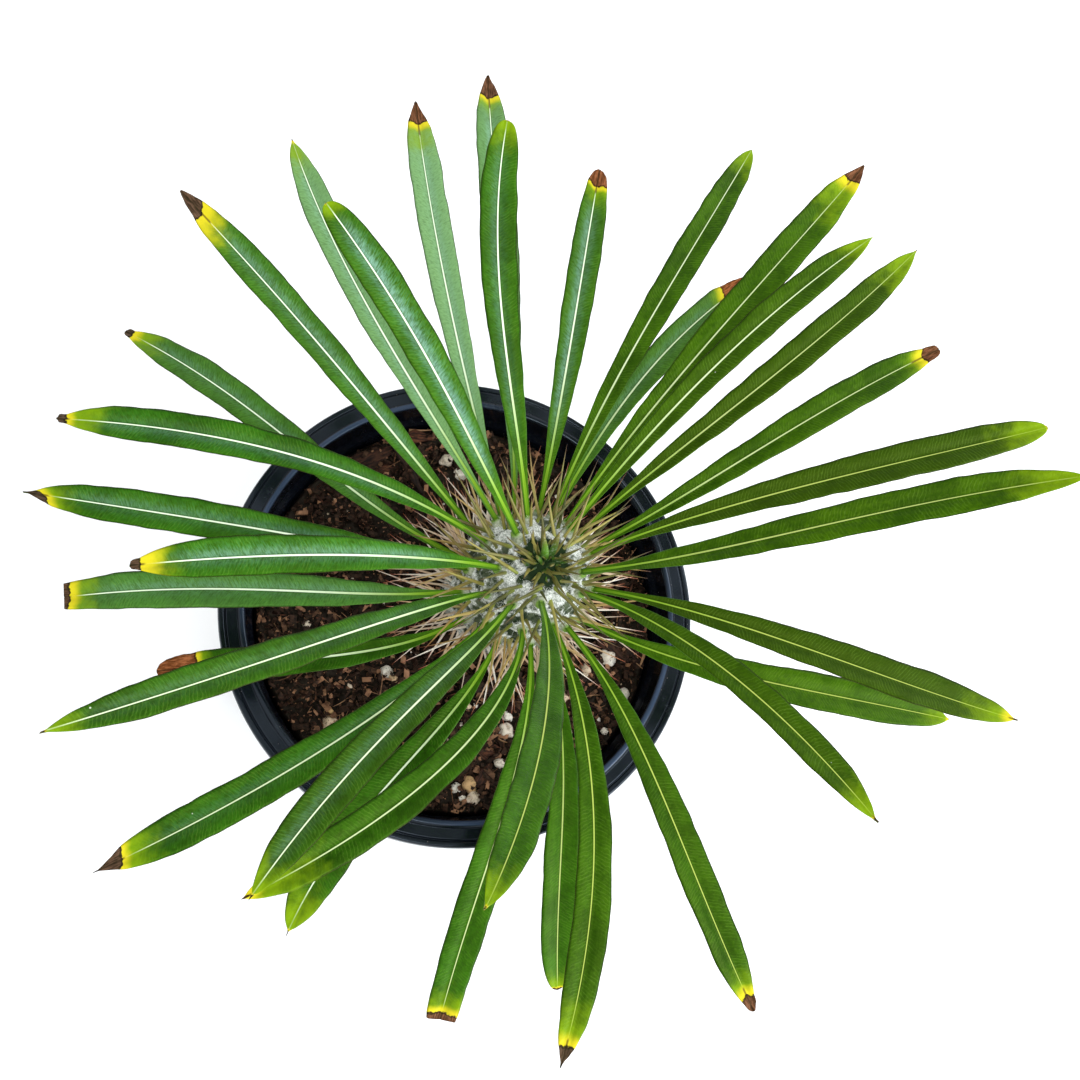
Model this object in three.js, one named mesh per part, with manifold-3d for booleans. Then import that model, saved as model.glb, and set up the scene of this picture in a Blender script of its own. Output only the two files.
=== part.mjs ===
// A young Madagascar palm (Pachypodium lamerei) standing in a plastic nursery pot.
// Millimetres, +Z up. The origin is the middle of the pot's underside.
//
// Pieces: the pot, the soil that fills it, the swollen stem with its tubercles and spines
// grown as one body, and 34 folded leaves, each a solid of its own on its own seat.

import * as THREE from "three";
import { mergeVertices } from "three/addons/utils/BufferGeometryUtils.js";
import Module from "manifold-3d";

const wasm = await Module();
wasm.setup();

// ---------------------------------------------------------------- driving dimensions

const GAP = 0.3; // clearance between pieces that stand in or on each other

const POT = {
  height: 160,
  wall: 1.5,
  footRadius: 64,
  shoulderRadius: 73.2, // outside of the wall, just under the step below the rim
  shoulderHeight: 147,
  stepRise: 2.5,
  stepWidth: 1.7,
  neckRadius: 75.6, // outside of the wall where it meets the rim
  footHeight: 2.2, // the floor stands this far above the foot ring and the middle disc
  floor: 2,
  footRing: [54.5, 61.5],
  discRadius: 24,
  bevel: 1.5, // width of the sloping edges of the foot ring, the disc and the floor
  heel: 3, // height at which the wall's outside starts
  sides: 36,
};
const RIM = {
  radius: 82.5,
  roof: 2.1, // from the pot's top down to the underside of the rim
  skirt: 12.5, // how far the outer skirt hangs down
  lip: 1.9, // width of the low outer lip
  lipLow: 0.9, // how far the lip lies below the top
  groove: 0.5, // width of each side of the groove inside the lip
  grooveLow: 1.5,
  ringLow: 0.5, // how far the flat ring lies below the top
  bead: 6.6, // from the outside to where the rounded inner edge starts
  beadWidth: 1.5,
  beadLow: 2.6, // how far below the top the rounded edge ends
};
const DRAIN = { count: 6, radius: 5, ring: 39, depth: 12, sides: 10 };

const SOIL = {
  level: 145,
  relief: 1.4,
  calm: [22, 30], // level as far from the stem as the first, as rough as it gets from the second
  heel: 2, // bevel round the bottom of the filling
  shoulder: 3, // the filling leaves the wall this far below its top
};
const BARK = { thickness: 2.4, slender: 0.36, taper: 0.45, proud: 0.3, tilt: 0.14 };
const SCATTER = { bark: 16, perlite: 5, reach: 65, clearOfStem: 24 };
// The largest chips and grains: place, direction in degrees and length, and place and size.
const BARK_PIECES = [
  [-18.8, 51.3, -58, 24],
  [-32.4, 56.3, 30, 16],
  [-15.2, 65.2, 3, 10],
  [-28.5, 52.5, 0, 9.5],
  [-45.8, 38, -45, 6.5],
  [13.5, -49, -5, 9],
  [10.1, -57.3, 60, 10],
  [58.4, -10.9, -37, 17],
  [7.5, -27, -12, 13],
  [64, 11.7, 70, 6.5],
];
const PERLITE_GRAINS = [
  [-0.1, 52, 5.4],
  [-5.4, 57.6, 6],
  [-43.2, -40.5, 5.2],
  [-24.9, -22.7, 5],
  [18, -36.7, 4.4],
  [17.3, -42.4, 6],
  [5.3, -61.1, 6.2],
  [6.5, -65.2, 4.6],
  [0.4, -61.9, 4],
  [15.3, -53.5, 4.2],
  [38.2, -30.1, 4.8],
  [46, -19.7, 4.6],
  [53.5, -14.7, 6],
  [60.5, -27.5, 5],
];

const STEM = {
  foot: [12.4, 3.7], // where the stem's axis meets the soil
  lean: [6.6, -1.7], // how far the tip stands off from the foot
  height: 65,
  belt: 38, // distance from the tip down to the widest belt
  beltRadius: 20,
  footRadius: 16,
  rootDepth: 28,
  rootRadius: 13,
  sides: 34,
};
// Distances below the tip at which the stem's surface has its rings of corners.
const STEM_RINGS = [
  65, 61, 57, 53.5, 50, 46.5, 43, 39.5, 36, 32.5, 29, 25.5, 22, 18.5, 15, 12, 9, 6.5, 4.2, 2.4, 1,
];
const GOLDEN_ANGLE = 137.508;
const TUBERCLE = { height: 2, reach: 5.4, first: 9, last: 59, step: 0.82, apart: 6.2 };
const CUSHION = { height: 3.2, top: 1.75, foot: 3.2, sunk: 1.5, sides: 4 };

const SPINE = {
  length: 27,
  vary: [0.8, 1.15], // shortest and longest, as shares of the length
  young: 0.7, // length at the tip, as a share of the full one
  ripe: [3, 14], // distances below the tip over which spines reach their full length
  slopes: [42, -4], // slope at the tip, and 60 mm and more below it
  wander: 8, // each spine strays up to this many degrees
  radius: 0.8,
  sides: 3,
  sunk: 2.2,
  spread: 36, // angle of each of the pair from straight out
  aside: 3, // distance of each of the pair from the tubercle's middle
  above: 3.2, // the middle spine stands this far above them,
  middle: 0.65, // has this share of their length
  lift: 26, // and points this much higher
  room: 2.3, // least distance from its middle line to a blade's middle plane
  floor: 3.5, // spines stay this far above the soil
  bends: [0, 8, 16, 24, 34], // degrees tried to bend it clear
  shares: [1, 0.8, 0.6], // lengths tried
};
const TIP = {
  spikes: 11,
  spikeRing: [2.2, 6.5], // distances from the stem's axis
  spikeLength: [6, 11],
  spikeSlope: [70, 28],
  spikeRadius: 1,
  buds: 5,
  budRing: 1.5,
  budLength: [9, 15],
  budSlope: [66, 84],
  budRadius: 1.5,
  budFlat: 0.6, // thickness of a bud as a share of its width
  low: 0.8, // they grow from this far below the tip
  sides: 5,
};

const PETIOLE = {
  width: 2.6,
  thickness: 2.1, // at its middle
  edge: 1.47,
  share: 0.04, // the blade starts to widen at this share of the length
  thins: 0.35, // and has the blade's thickness from this share on
};
const BLADE = {
  thickness: 0.65,
  midrib: 1.15,
  widest: 0.7,
  swell: 1.2, // how late the blade widens
  blunt: [3.4, 0.8], // powers of its taper
  fold: 17, // slope of each half, in degrees
  tipWidth: 0.7,
};
const STUB_WIDTH = 0.45; // a withered, broken end is this share of the blade's width
const LEAF_STEPS = 50; // a leaf's middle line is followed in this many equal steps
const LEAF_RINGS = [0, 2, 6, 11, 17, 23, 29, 35, 40, 44, 47, 49, 50];

// One row for each leaf, clockwise from +Y, from its seat on the stem outwards:
// side    direction of the seat round the stem, in degrees from +X
// down    distance of the seat below the stem's tip
// length  along the middle line, and width of the blade laid flat
// rise    slope at the seat in degrees, and droop, the part of it lost by the tip
// turn    sideways turn near the seat, and sweep, the sideways bend of the whole blade
// tip     green, dry (a withered point) or stub (a withered, broken end)
const LEAVES = [
  // side, down, length, width, rise, droop, turn, sweep, tip
  [95, 31, 166, 13, 22, 26, 3, -5, "dry"],
  [106, 8, 123, 12, 41, 28, 17, -41, "green"],
  [83, 19, 119, 11, 33, 30, 1, -3, "stub"],
  [72, 16, 146, 11, 32, 30, -13, 2, "green"],
  [66, 24, 122, 11, 23, 30, -1, -26, "dry"],
  [58, 12, 152, 12, 43, 35, -11, 4, "dry"],
  [53, 6, 131, 10, 49, 36, 2, -19, "green"],
  [41, 16, 146, 11, 41, 33, -11, 16, "green"],
  [25, 21, 139, 11.5, 34, 30, 16, -13, "dry"],
  [16, 10, 145, 11.5, 45, 32, -6, 4, "green"],
  [-15, 4, 147, 10.5, 61, 32, 35, -17, "green"],
  [-17, 14, 139, 12, 34, 34, -11, 14, "dry"],
  [-36, 25, 130, 13, 27, 34, 31, -3, "green"],
  [-35, 7, 113, 10, 51, 40, 0, -20, "green"],
  [-57, 18, 130, 11.5, 26, 38, -20, 16, "dry"],
  [-75, 12, 130, 11, 31, 36, 2, -34, "dry"],
  [-71, 29, 114, 12.5, 10, 38, -32, 21, "green"],
  [-95, 5, 126, 10.5, 55, 20, 4, -31, "green"],
  [-87, 23, 124, 12.5, 8, 37, -30, 17, "stub"],
  [-100, 16, 125, 11, 36, 22, -28, -25, "green"],
  [-125, 8, 127, 10.5, 45, 27, -23, 26, "green"],
  [-112, 27, 114, 13.5, 11, 35, -50, 51, "green"],
  [-130, 20, 136, 12, 25, 30, -10, -14, "dry"],
  [-150, 13, 149, 9.5, 54, 31, 2, -8, "green"],
  [-144, 31, 100, 11, 14, 31, -38, 7, "dry"],
  [-164, 24, 121, 13, 26, 35, -30, 22, "stub"],
  [-170, 6, 114, 11.5, 47, 34, -7, 10, "dry"],
  [180, 18, 133, 11.5, 30, 30, -4, -2, "dry"],
  [158, 11, 133, 11.5, 32, 35, 1, 21, "dry"],
  [163, 28, 135, 11.5, 18, 30, -40, 28, "dry"],
  [144, 22, 138, 11, 37, 27, -12, 6, "dry"],
  [128, 15, 144, 11, 22, 24, 8, -27, "green"],
  [138, 4, 114, 12, 53, 35, -21, 17, "green"],
  [111, 26, 154, 12, 21, 25, -4, -10, "dry"],
].map(([side, down, length, width, rise, droop, turn, sweep, tip]) => ({
  side, down, length, width, rise, droop, turn, sweep, tip,
}));

const FINISH = {
  pot: { color: 0x1b2026, roughness: 0.5, metalness: 0 },
  soil: { color: 0x3b2a20, roughness: 0.95, metalness: 0 },
  stem: { color: 0x8d937f, roughness: 0.9, metalness: 0 },
  leaf: { color: 0x2f6d22, roughness: 0.4, metalness: 0 },
};

// ---------------------------------------------------------------- helpers

const { degToRad: rad, radToDeg: deg, lerp, clamp, smoothstep } = THREE.MathUtils;
const UP = new THREE.Vector3(0, 0, 1);
const CONE_AXIS = new THREE.Vector3(0, 1, 0);

// A repeatable row of numbers from 0 to 1.
function seeded(seed) {
  let state = seed;
  return () => {
    state = (state * 1664525 + 1013904223) % 4294967296;
    return state / 4294967296;
  };
}

// A unit vector from its direction round +Z and its slope, both in degrees.
function pointing(side, slope) {
  const flat = Math.cos(rad(slope));
  return new THREE.Vector3(
    flat * Math.cos(rad(side)),
    flat * Math.sin(rad(side)),
    Math.sin(rad(slope)),
  );
}

// The geometry as a solid: shared corners merged, and faces without area left out.
function solid(geometry) {
  const shape = geometry.clone();
  shape.deleteAttribute("normal");
  shape.deleteAttribute("uv");
  const merged = mergeVertices(shape, 1e-4);
  const corners = [];
  for (let i = 0; i < merged.index.count; i += 3) {
    const [a, b, c] = merged.index.array.slice(i, i + 3);
    if (a !== b && b !== c && c !== a) corners.push(a, b, c);
  }
  const vertProperties = merged.attributes.position.array;
  const triVerts = new Uint32Array(corners);
  return new wasm.Manifold(new wasm.Mesh({ numProp: 3, vertProperties, triVerts }));
}

function geometryOf(body) {
  const { vertProperties, triVerts } = body.getMesh();
  const geometry = new THREE.BufferGeometry();
  geometry.setAttribute("position", new THREE.BufferAttribute(vertProperties, 3));
  geometry.setIndex(new THREE.BufferAttribute(triVerts, 1));
  geometry.computeVertexNormals();
  return geometry;
}

function named(name, geometry, finish) {
  const mesh = new THREE.Mesh(geometry, new THREE.MeshStandardMaterial(finish));
  mesh.name = name;
  return mesh;
}

// A turned shape: the outline runs anticlockwise in (radius, height), from axis to axis.
function turned(outline, sides) {
  const points = outline.map(([radius, height]) => new THREE.Vector2(radius, height));
  return new THREE.LatheGeometry(points, sides).rotateX(Math.PI / 2);
}

// Moves every corner of a geometry by a function of its place.
function reshape(geometry, move) {
  const position = geometry.attributes.position;
  const corner = new THREE.Vector3();
  for (let i = 0; i < position.count; i++) {
    corner.fromBufferAttribute(position, i);
    move(corner);
    position.setXYZ(i, corner.x, corner.y, corner.z);
  }
  return geometry;
}

// ---------------------------------------------------------------- pot

// Inside radius of the pot's straight wall at a height.
function potInside(height) {
  const share = height / POT.shoulderHeight;
  return lerp(POT.footRadius, POT.shoulderRadius, share) - POT.wall;
}

function potSolid() {
  const { height, wall, footHeight, floor, neckRadius, stepRise, stepWidth, bevel } = POT;
  const [footIn, footOut] = POT.footRing;
  const roof = height - RIM.roof;
  const skirtFoot = height - RIM.skirt;
  const neckFoot = POT.shoulderHeight + stepRise;
  const lipIn = RIM.radius - RIM.lip;
  const ringOut = lipIn - 2 * RIM.groove;
  const beadOut = RIM.radius - RIM.bead;
  const floorTop = footHeight + floor;
  const outline = [
    [0, 0],
    [POT.discRadius, 0],
    [POT.discRadius + bevel, footHeight],
    [footIn - bevel, footHeight],
    [footIn, 0],
    [footOut, 0],
    [POT.footRadius, POT.heel],
    [POT.shoulderRadius, POT.shoulderHeight],
    [POT.shoulderRadius + stepWidth, neckFoot],
    [neckRadius, roof],
    [RIM.radius - wall, roof],
    [RIM.radius - wall, skirtFoot],
    [RIM.radius - wall / 4, skirtFoot],
    [RIM.radius, height - 2 * RIM.lipLow],
    [RIM.radius - RIM.groove, height - RIM.lipLow],
    [lipIn, height - RIM.lipLow],
    [lipIn - RIM.groove, height - RIM.grooveLow],
    [ringOut, height - RIM.ringLow],
    [beadOut, height - RIM.ringLow],
    [beadOut - RIM.beadWidth / 2, height],
    [beadOut - RIM.beadWidth, height - RIM.ringLow],
    [neckRadius - wall, height - RIM.beadLow],
    [POT.shoulderRadius + stepWidth - wall, neckFoot],
    [POT.shoulderRadius - wall, POT.shoulderHeight],
    [potInside(floorTop + bevel), floorTop + bevel],
    [potInside(floorTop) - bevel, floorTop],
    [0, floorTop],
  ];
  let pot = solid(turned(outline, POT.sides));
  for (let i = 0; i < DRAIN.count; i++) {
    const middle = pointing((360 * i) / DRAIN.count, 0).multiplyScalar(DRAIN.ring);
    const drill = new THREE.CylinderGeometry(DRAIN.radius, DRAIN.radius, DRAIN.depth, DRAIN.sides);
    pot = pot.subtract(solid(drill.rotateX(Math.PI / 2).translate(middle.x, middle.y, 0)));
  }
  return pot;
}

// ---------------------------------------------------------------- soil

function fromStem(x, y) {
  return Math.hypot(x - STEM.foot[0], y - STEM.foot[1]);
}

// Height of the soil's lumpy top, which is level round the stem.
function soilTop(x, y) {
  const lumps = Math.sin(0.19 * x + 1.1) * Math.cos(0.16 * y - 0.6);
  const crumbs = 0.6 * Math.sin(0.41 * x - 0.33 * y + 2) + 0.4 * Math.cos(0.52 * y + 0.2 * x);
  const rough = smoothstep(fromStem(x, y), SOIL.calm[0], SOIL.calm[1]);
  return SOIL.level + SOIL.relief * rough * (lumps + crumbs) * 0.7;
}

// A bark chip: a tapered, slightly tilted sliver, half sunk in the soil.
function barkChip(x, y, turn, length, tilt) {
  const chip = new THREE.BoxGeometry(length, length * BARK.slender, BARK.thickness);
  reshape(chip, (corner) => {
    if (corner.x > 0) corner.y *= BARK.taper;
  });
  chip.rotateY(tilt).rotateZ(turn);
  return solid(chip.translate(x, y, soilTop(x, y) + BARK.proud));
}

// A perlite grain: a squashed lump with flat faces.
function perliteGrain(x, y, turn, size) {
  const grain = new THREE.IcosahedronGeometry(size / 2, 0).scale(1, 0.8, 0.7);
  return solid(grain.rotateZ(turn).translate(x, y, soilTop(x, y)));
}

// Places drawn at random, evenly over the soil and clear of the stem.
function scattered(count, draw) {
  const spots = [];
  while (spots.length < count) {
    const reach = SCATTER.reach * Math.sqrt(draw());
    const spot = pointing(360 * draw(), 0).multiplyScalar(reach);
    if (fromStem(spot.x, spot.y) < SCATTER.clearOfStem) continue;
    spots.push({ x: spot.x, y: spot.y, turn: Math.PI * draw(), size: draw() });
  }
  return spots;
}

function soilCrumbs() {
  const { tilt } = BARK;
  const draw = seeded(7);
  return [
    ...BARK_PIECES.map(([x, y, turn, length]) => barkChip(x, y, rad(turn), length, tilt / 2)),
    ...PERLITE_GRAINS.map(([x, y, size]) => perliteGrain(x, y, x, size)),
    ...scattered(SCATTER.bark, draw).map(({ x, y, turn, size }) =>
      barkChip(x, y, turn, lerp(5, 13, size * size), lerp(-tilt, tilt, size))),
    ...scattered(SCATTER.perlite, draw).map(({ x, y, turn, size }) =>
      perliteGrain(x, y, turn, lerp(3.2, 5.6, size))),
  ];
}

// The filling: it follows the pot's inside, and is level and open where the stem stands.
function soilSolid() {
  const { level, heel, shoulder } = SOIL;
  const bottom = POT.footHeight + POT.floor + GAP;
  const edge = potInside(level - shoulder) - GAP;
  const rings = [66, 60, 54, 48, 42, 36, 30, 24, 18, 12, 6, 0];
  const outline = [
    [0, bottom],
    [potInside(bottom) - heel - GAP, bottom],
    [potInside(bottom + heel) - GAP, bottom + heel],
    [edge, level - shoulder],
    [edge - shoulder * 0.4, level - shoulder * 0.27],
    ...rings.map((radius) => [radius, level]),
  ];
  const heap = reshape(turned(outline, POT.sides), (corner) => {
    if (corner.z === level) corner.z = soilTop(corner.x, corner.y);
  });
  const depth = STEM.rootDepth + GAP;
  const radius = STEM.footRadius + GAP;
  const hole = new THREE.CylinderGeometry(radius, radius, 2 * depth, STEM.sides);
  hole.rotateX(Math.PI / 2).translate(STEM.foot[0], STEM.foot[1], level);
  return soilCrumbs()
    .reduce((soil, crumb) => soil.add(crumb), solid(heap))
    .subtract(solid(hole));
}

// ---------------------------------------------------------------- leaves

// Radius of the smooth stem, without its tubercles, at a distance below its tip.
function stemRadius(down) {
  if (down <= STEM.belt) {
    const left = (STEM.belt - down) / STEM.belt;
    return STEM.beltRadius * Math.pow(Math.max(0, 1 - Math.pow(left, 2.6)), 1 / 2.2);
  }
  const past = (down - STEM.belt) / (STEM.height - STEM.belt);
  return lerp(STEM.beltRadius, STEM.footRadius, Math.min(1, past * past));
}

// How far the stem's axis has leant over at a distance below its tip.
function stemAxis(down) {
  const share = clamp(1 - down / STEM.height, 0, 1);
  return new THREE.Vector3(STEM.lean[0] * share, STEM.lean[1] * share, STEM.height - down);
}

function stemPoint(side, down) {
  return stemAxis(down).add(pointing(side, 0).multiplyScalar(stemRadius(down)));
}

// Slope of the stem's surface normal, in degrees above level.
function stemSlope(down) {
  const low = stemRadius(down + 0.5);
  const high = stemRadius(Math.max(0, down - 0.5));
  return deg(Math.atan2(low - high, 1));
}

// Which way a leaf's middle line runs at a share of its length, in the leaf's own frame.
function leafHeading(leaf, share) {
  const near = 1 - Math.pow(1 - share, 3);
  const bend = 1 - Math.pow(1 - share, 2);
  return {
    side: leaf.turn * near + leaf.sweep * share,
    slope: leaf.rise - leaf.droop * bend,
  };
}

// The middle line as equal steps, each with its point, its way across and its way up.
function leafLine(leaf) {
  const point = new THREE.Vector3();
  const line = [];
  for (let step = 0; step <= LEAF_STEPS; step++) {
    const here = leafHeading(leaf, step / LEAF_STEPS);
    line.push({
      point: point.clone(),
      across: pointing(here.side - 90, 0),
      up: pointing(here.side, here.slope + 90),
    });
    const onward = leafHeading(leaf, (step + 0.5) / LEAF_STEPS);
    point.addScaledVector(pointing(onward.side, onward.slope), leaf.length / LEAF_STEPS);
  }
  return line;
}

// Width of the leaf laid flat: a narrow petiole, a long widening blade and a short taper.
function leafWidth(leaf, share) {
  const grown = clamp((share - PETIOLE.share) / (BLADE.widest - PETIOLE.share), 0, 1);
  const swollen = Math.pow(Math.sin((grown * Math.PI) / 2), BLADE.swell);
  const wide = lerp(PETIOLE.width, leaf.width, swollen);
  if (share <= BLADE.widest) return wide;
  const past = (share - BLADE.widest) / (1 - BLADE.widest);
  const [late, round] = BLADE.blunt;
  const taper = Math.pow(1 - Math.pow(past, late), round);
  const least = leaf.tip === "stub" ? STUB_WIDTH * leaf.width : BLADE.tipWidth;
  return Math.max(least, wide * taper);
}

// The two flat faces of a box are split along the same diagonals, so that they bend alike.
function alikeFaces(box) {
  const index = box.index.array;
  const { start, count } = box.groups[5];
  for (let i = start; i < start + count; i += 6) {
    const [a, b, d, , c] = index.slice(i, i + 6);
    index.set([a, b, c, a, c, d], i);
  }
  return box;
}

// A leaf in its own frame: it starts at the origin and heads for +X, folded along its midrib.
function leafGeometry(leaf) {
  const line = leafLine(leaf);
  const rings = LEAF_RINGS.length - 1;
  const blade = alikeFaces(new THREE.BoxGeometry(2, 1, 2, 2, rings, 1));
  return reshape(blade, (corner) => {
    const step = LEAF_RINGS[Math.round((corner.y + 0.5) * rings)];
    const share = step / LEAF_STEPS;
    const ripe = smoothstep(share, 0, PETIOLE.thins);
    const half = leafWidth(leaf, share) / 2;
    const edge = lerp(PETIOLE.edge, BLADE.thickness, ripe);
    const middle = lerp(PETIOLE.thickness, BLADE.midrib, ripe);
    const fold = rad(BLADE.fold);
    const offset = corner.x;
    const rise = Math.abs(offset) * half * Math.sin(fold);
    const under = corner.z < 0 ? lerp(middle, edge, Math.abs(offset)) : 0;
    const { point, across, up } = line[step];
    corner.copy(point);
    corner.addScaledVector(across, offset * half * Math.cos(fold));
    corner.addScaledVector(up, rise - under + middle / 2);
  });
}

// Where a leaf starts: on the end of its cushion, with the gap between.
function leafSeat(leaf) {
  const reach = CUSHION.height + GAP;
  return stemPoint(leaf.side, leaf.down).addScaledVector(pointing(leaf.side, leaf.rise), reach);
}

// ---------------------------------------------------------------- stem

// Tubercles: one under each leaf, and bare ones down the golden spiral between them.
function tubercleSeats() {
  const seats = LEAVES.map(({ side, down, rise }) => ({ side, down, rise }));
  let side = 0;
  for (let down = TUBERCLE.first; down < TUBERCLE.last; down += TUBERCLE.step) {
    side += GOLDEN_ANGLE;
    const spot = stemPoint(side, down);
    const free = seats.every(
      (seat) => stemPoint(seat.side, seat.down).distanceTo(spot) > TUBERCLE.apart,
    );
    if (free) seats.push({ side, down, rise: null });
  }
  return seats;
}

// Height of the tubercles' soft relief over the smooth stem.
function stemRelief(spot, seats) {
  let relief = 0;
  for (const seat of seats) {
    const away = stemPoint(seat.side, seat.down).distanceTo(spot) / TUBERCLE.reach;
    if (away < 1) relief = Math.max(relief, TUBERCLE.height * Math.pow(1 - away * away, 2));
  }
  return relief;
}

function stemBody(seats) {
  const outline = [
    [0, -STEM.rootDepth],
    [STEM.rootRadius - 3, -STEM.rootDepth],
    [STEM.rootRadius, -STEM.rootDepth + 4],
    [STEM.footRadius, -9],
    [STEM.footRadius, -0.5],
    ...STEM_RINGS.map((down) => [stemRadius(down), STEM.height - down]),
    [0, STEM.height],
  ];
  return reshape(turned(outline, STEM.sides), (corner) => {
    if (corner.z <= 0) return;
    const down = STEM.height - corner.z;
    const side = deg(Math.atan2(corner.y, corner.x));
    const normal = pointing(side, stemSlope(down));
    const axis = stemAxis(down);
    corner.x += axis.x;
    corner.y += axis.y;
    corner.addScaledVector(normal, stemRelief(corner, seats));
  });
}

// A pointed needle with its root sunk below the place that it grows from.
function needle(root, way, length, radius, sides, flat = 1) {
  const cone = new THREE.ConeGeometry(radius, length + SPINE.sunk, sides, 1);
  cone.translate(0, (length - SPINE.sunk) / 2, 0).scale(1, 1, flat);
  const turn = new THREE.Quaternion().setFromUnitVectors(CONE_AXIS, way);
  return solid(cone.applyQuaternion(turn).translate(root.x, root.y, root.z));
}

// The short blunt stalk that carries a leaf; its end faces the leaf's base.
function cushion(seat) {
  const { height, top, foot, sunk, sides } = CUSHION;
  const stalk = new THREE.CylinderGeometry(top, foot, height + sunk, sides, 1);
  stalk.translate(0, (height - sunk) / 2, 0);
  const way = pointing(seat.side, seat.rise);
  const turn = new THREE.Quaternion().setFromUnitVectors(CONE_AXIS, way);
  const root = stemPoint(seat.side, seat.down);
  return solid(stalk.applyQuaternion(turn).translate(root.x, root.y, root.z));
}

// Every leaf's middle line with its half widths, in the plant's frame.
function bladeLines() {
  return LEAVES.map((leaf) => {
    const seat = leafSeat(leaf);
    return leafLine(leaf).map(({ point, across }, step) => ({
      point: point.clone().applyAxisAngle(UP, rad(leaf.side)).add(seat),
      across: across.clone().applyAxisAngle(UP, rad(leaf.side)),
      half: leafWidth(leaf, step / LEAF_STEPS) / 2,
    }));
  });
}

// Whether a needle stays clear of every blade and of the soil.
function isClear(root, way, length, blades) {
  const spot = new THREE.Vector3();
  for (let out = 4.5; out <= length + 1; out += 2.5) {
    spot.copy(root).addScaledVector(way, out);
    if (spot.z < SPINE.floor) return false;
    for (const blade of blades) {
      for (const { point, across, half } of blade) {
        const away = spot.clone().sub(point);
        const along = clamp(away.dot(across), -half, half);
        if (away.addScaledVector(across, -along).length() < SPINE.room) return false;
      }
    }
  }
  return true;
}

// The way nearest to the wished one that is clear: it is bent sideways and up or down by turns.
function clearWay(root, side, slope, length, blades) {
  for (const bend of SPINE.bends) {
    for (const [aside, up] of [[1, 0], [-1, 0], [0, 1], [0, -1], [1, 1], [-1, 1]]) {
      const way = pointing(side + aside * bend, slope + up * bend);
      if (isClear(root, way, length, blades)) return way;
    }
  }
  return null;
}

// The longest clear needle of the tried lengths, or none.
function clearNeedle(root, side, slope, length, blades) {
  for (const share of SPINE.shares) {
    const way = clearWay(root, side, slope, length * share, blades);
    if (way) return [needle(root, way, length * share, SPINE.radius, SPINE.sides)];
  }
  return [];
}

// Each tubercle bears a pair of long spines and a shorter one above them.
function spines(seats, blades) {
  const draw = seeded(11);
  const stray = () => lerp(-SPINE.wander, SPINE.wander, draw());
  const made = [];
  for (const { side, down } of seats) {
    const middle = stemPoint(side, down);
    const tangent = pointing(side + 90, 0);
    const upward = pointing(side, stemSlope(down) + 90);
    const slope = lerp(...SPINE.slopes, clamp(down / 60, 0, 1));
    const grown = SPINE.length * lerp(SPINE.young, 1, smoothstep(down, ...SPINE.ripe));
    for (const hand of [-1, 0, 1]) {
      const length = grown * lerp(...SPINE.vary, draw()) * (hand === 0 ? SPINE.middle : 1);
      const lift = slope + stray() + (hand === 0 ? SPINE.lift : 0);
      const around = side + hand * SPINE.spread + stray();
      const root = middle.clone().addScaledVector(tangent, hand * SPINE.aside);
      if (hand === 0) root.addScaledVector(upward, SPINE.above);
      made.push(...clearNeedle(root, around, lift, length, blades));
    }
  }
  return made;
}

// The growing tip: short stout young spines and folded leaf buds, close together.
function tipCluster(blades) {
  const draw = seeded(23);
  const made = [];
  const grow = (i, out, slope, length, radius, flat) => {
    const side = GOLDEN_ANGLE * i;
    const root = stemAxis(TIP.low).addScaledVector(pointing(side, 0), out);
    const way = clearWay(root, side, slope, length, blades);
    if (way) made.push(needle(root, way, length, radius, TIP.sides, flat));
  };
  for (let i = 0; i < TIP.spikes; i++) {
    const outward = i / (TIP.spikes - 1);
    const length = lerp(...TIP.spikeLength, draw());
    const slope = lerp(...TIP.spikeSlope, outward);
    grow(i, lerp(...TIP.spikeRing, outward), slope, length, TIP.spikeRadius, 1);
  }
  for (let i = 0; i < TIP.buds; i++) {
    const length = lerp(...TIP.budLength, draw());
    const slope = lerp(...TIP.budSlope, draw());
    grow(TIP.spikes + i, TIP.budRing, slope, length, TIP.budRadius, TIP.budFlat);
  }
  return made;
}

function stemSolid() {
  const seats = tubercleSeats();
  const blades = bladeLines();
  const grown = [
    ...seats.filter((seat) => seat.rise !== null).map(cushion),
    ...spines(seats, blades),
    ...tipCluster(blades),
  ];
  return grown.reduce((body, piece) => body.add(piece), solid(stemBody(seats)));
}

// ---------------------------------------------------------------- the potted plant

const pottedPlant = new THREE.Group();
pottedPlant.add(named("pot", geometryOf(potSolid()), FINISH.pot));
pottedPlant.add(named("soil", geometryOf(soilSolid()), FINISH.soil));

const plant = new THREE.Group();
plant.position.set(STEM.foot[0], STEM.foot[1], SOIL.level);
plant.add(named("stem", geometryOf(stemSolid()), FINISH.stem));
LEAVES.forEach((leaf, i) => {
  const name = `leaf_${String(i + 1).padStart(2, "0")}`;
  const mesh = named(name, leafGeometry(leaf), FINISH.leaf);
  mesh.position.copy(leafSeat(leaf));
  mesh.rotation.z = rad(leaf.side);
  plant.add(mesh);
});
pottedPlant.add(plant);

export default pottedPlant;
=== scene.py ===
"""A young Madagascar palm in a black nursery pot: the looks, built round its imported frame.

Shapes are worked out in millimetres in the frame's own axes and turned into metres when a piece
is finished. The plant has axes of its own: they start where the stem's axis meets the soil.
"""

import math
from types import SimpleNamespace as Sizes

import bmesh
import bpy
import numpy as np
from mathutils import Matrix, Vector, kdtree, noise


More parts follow.
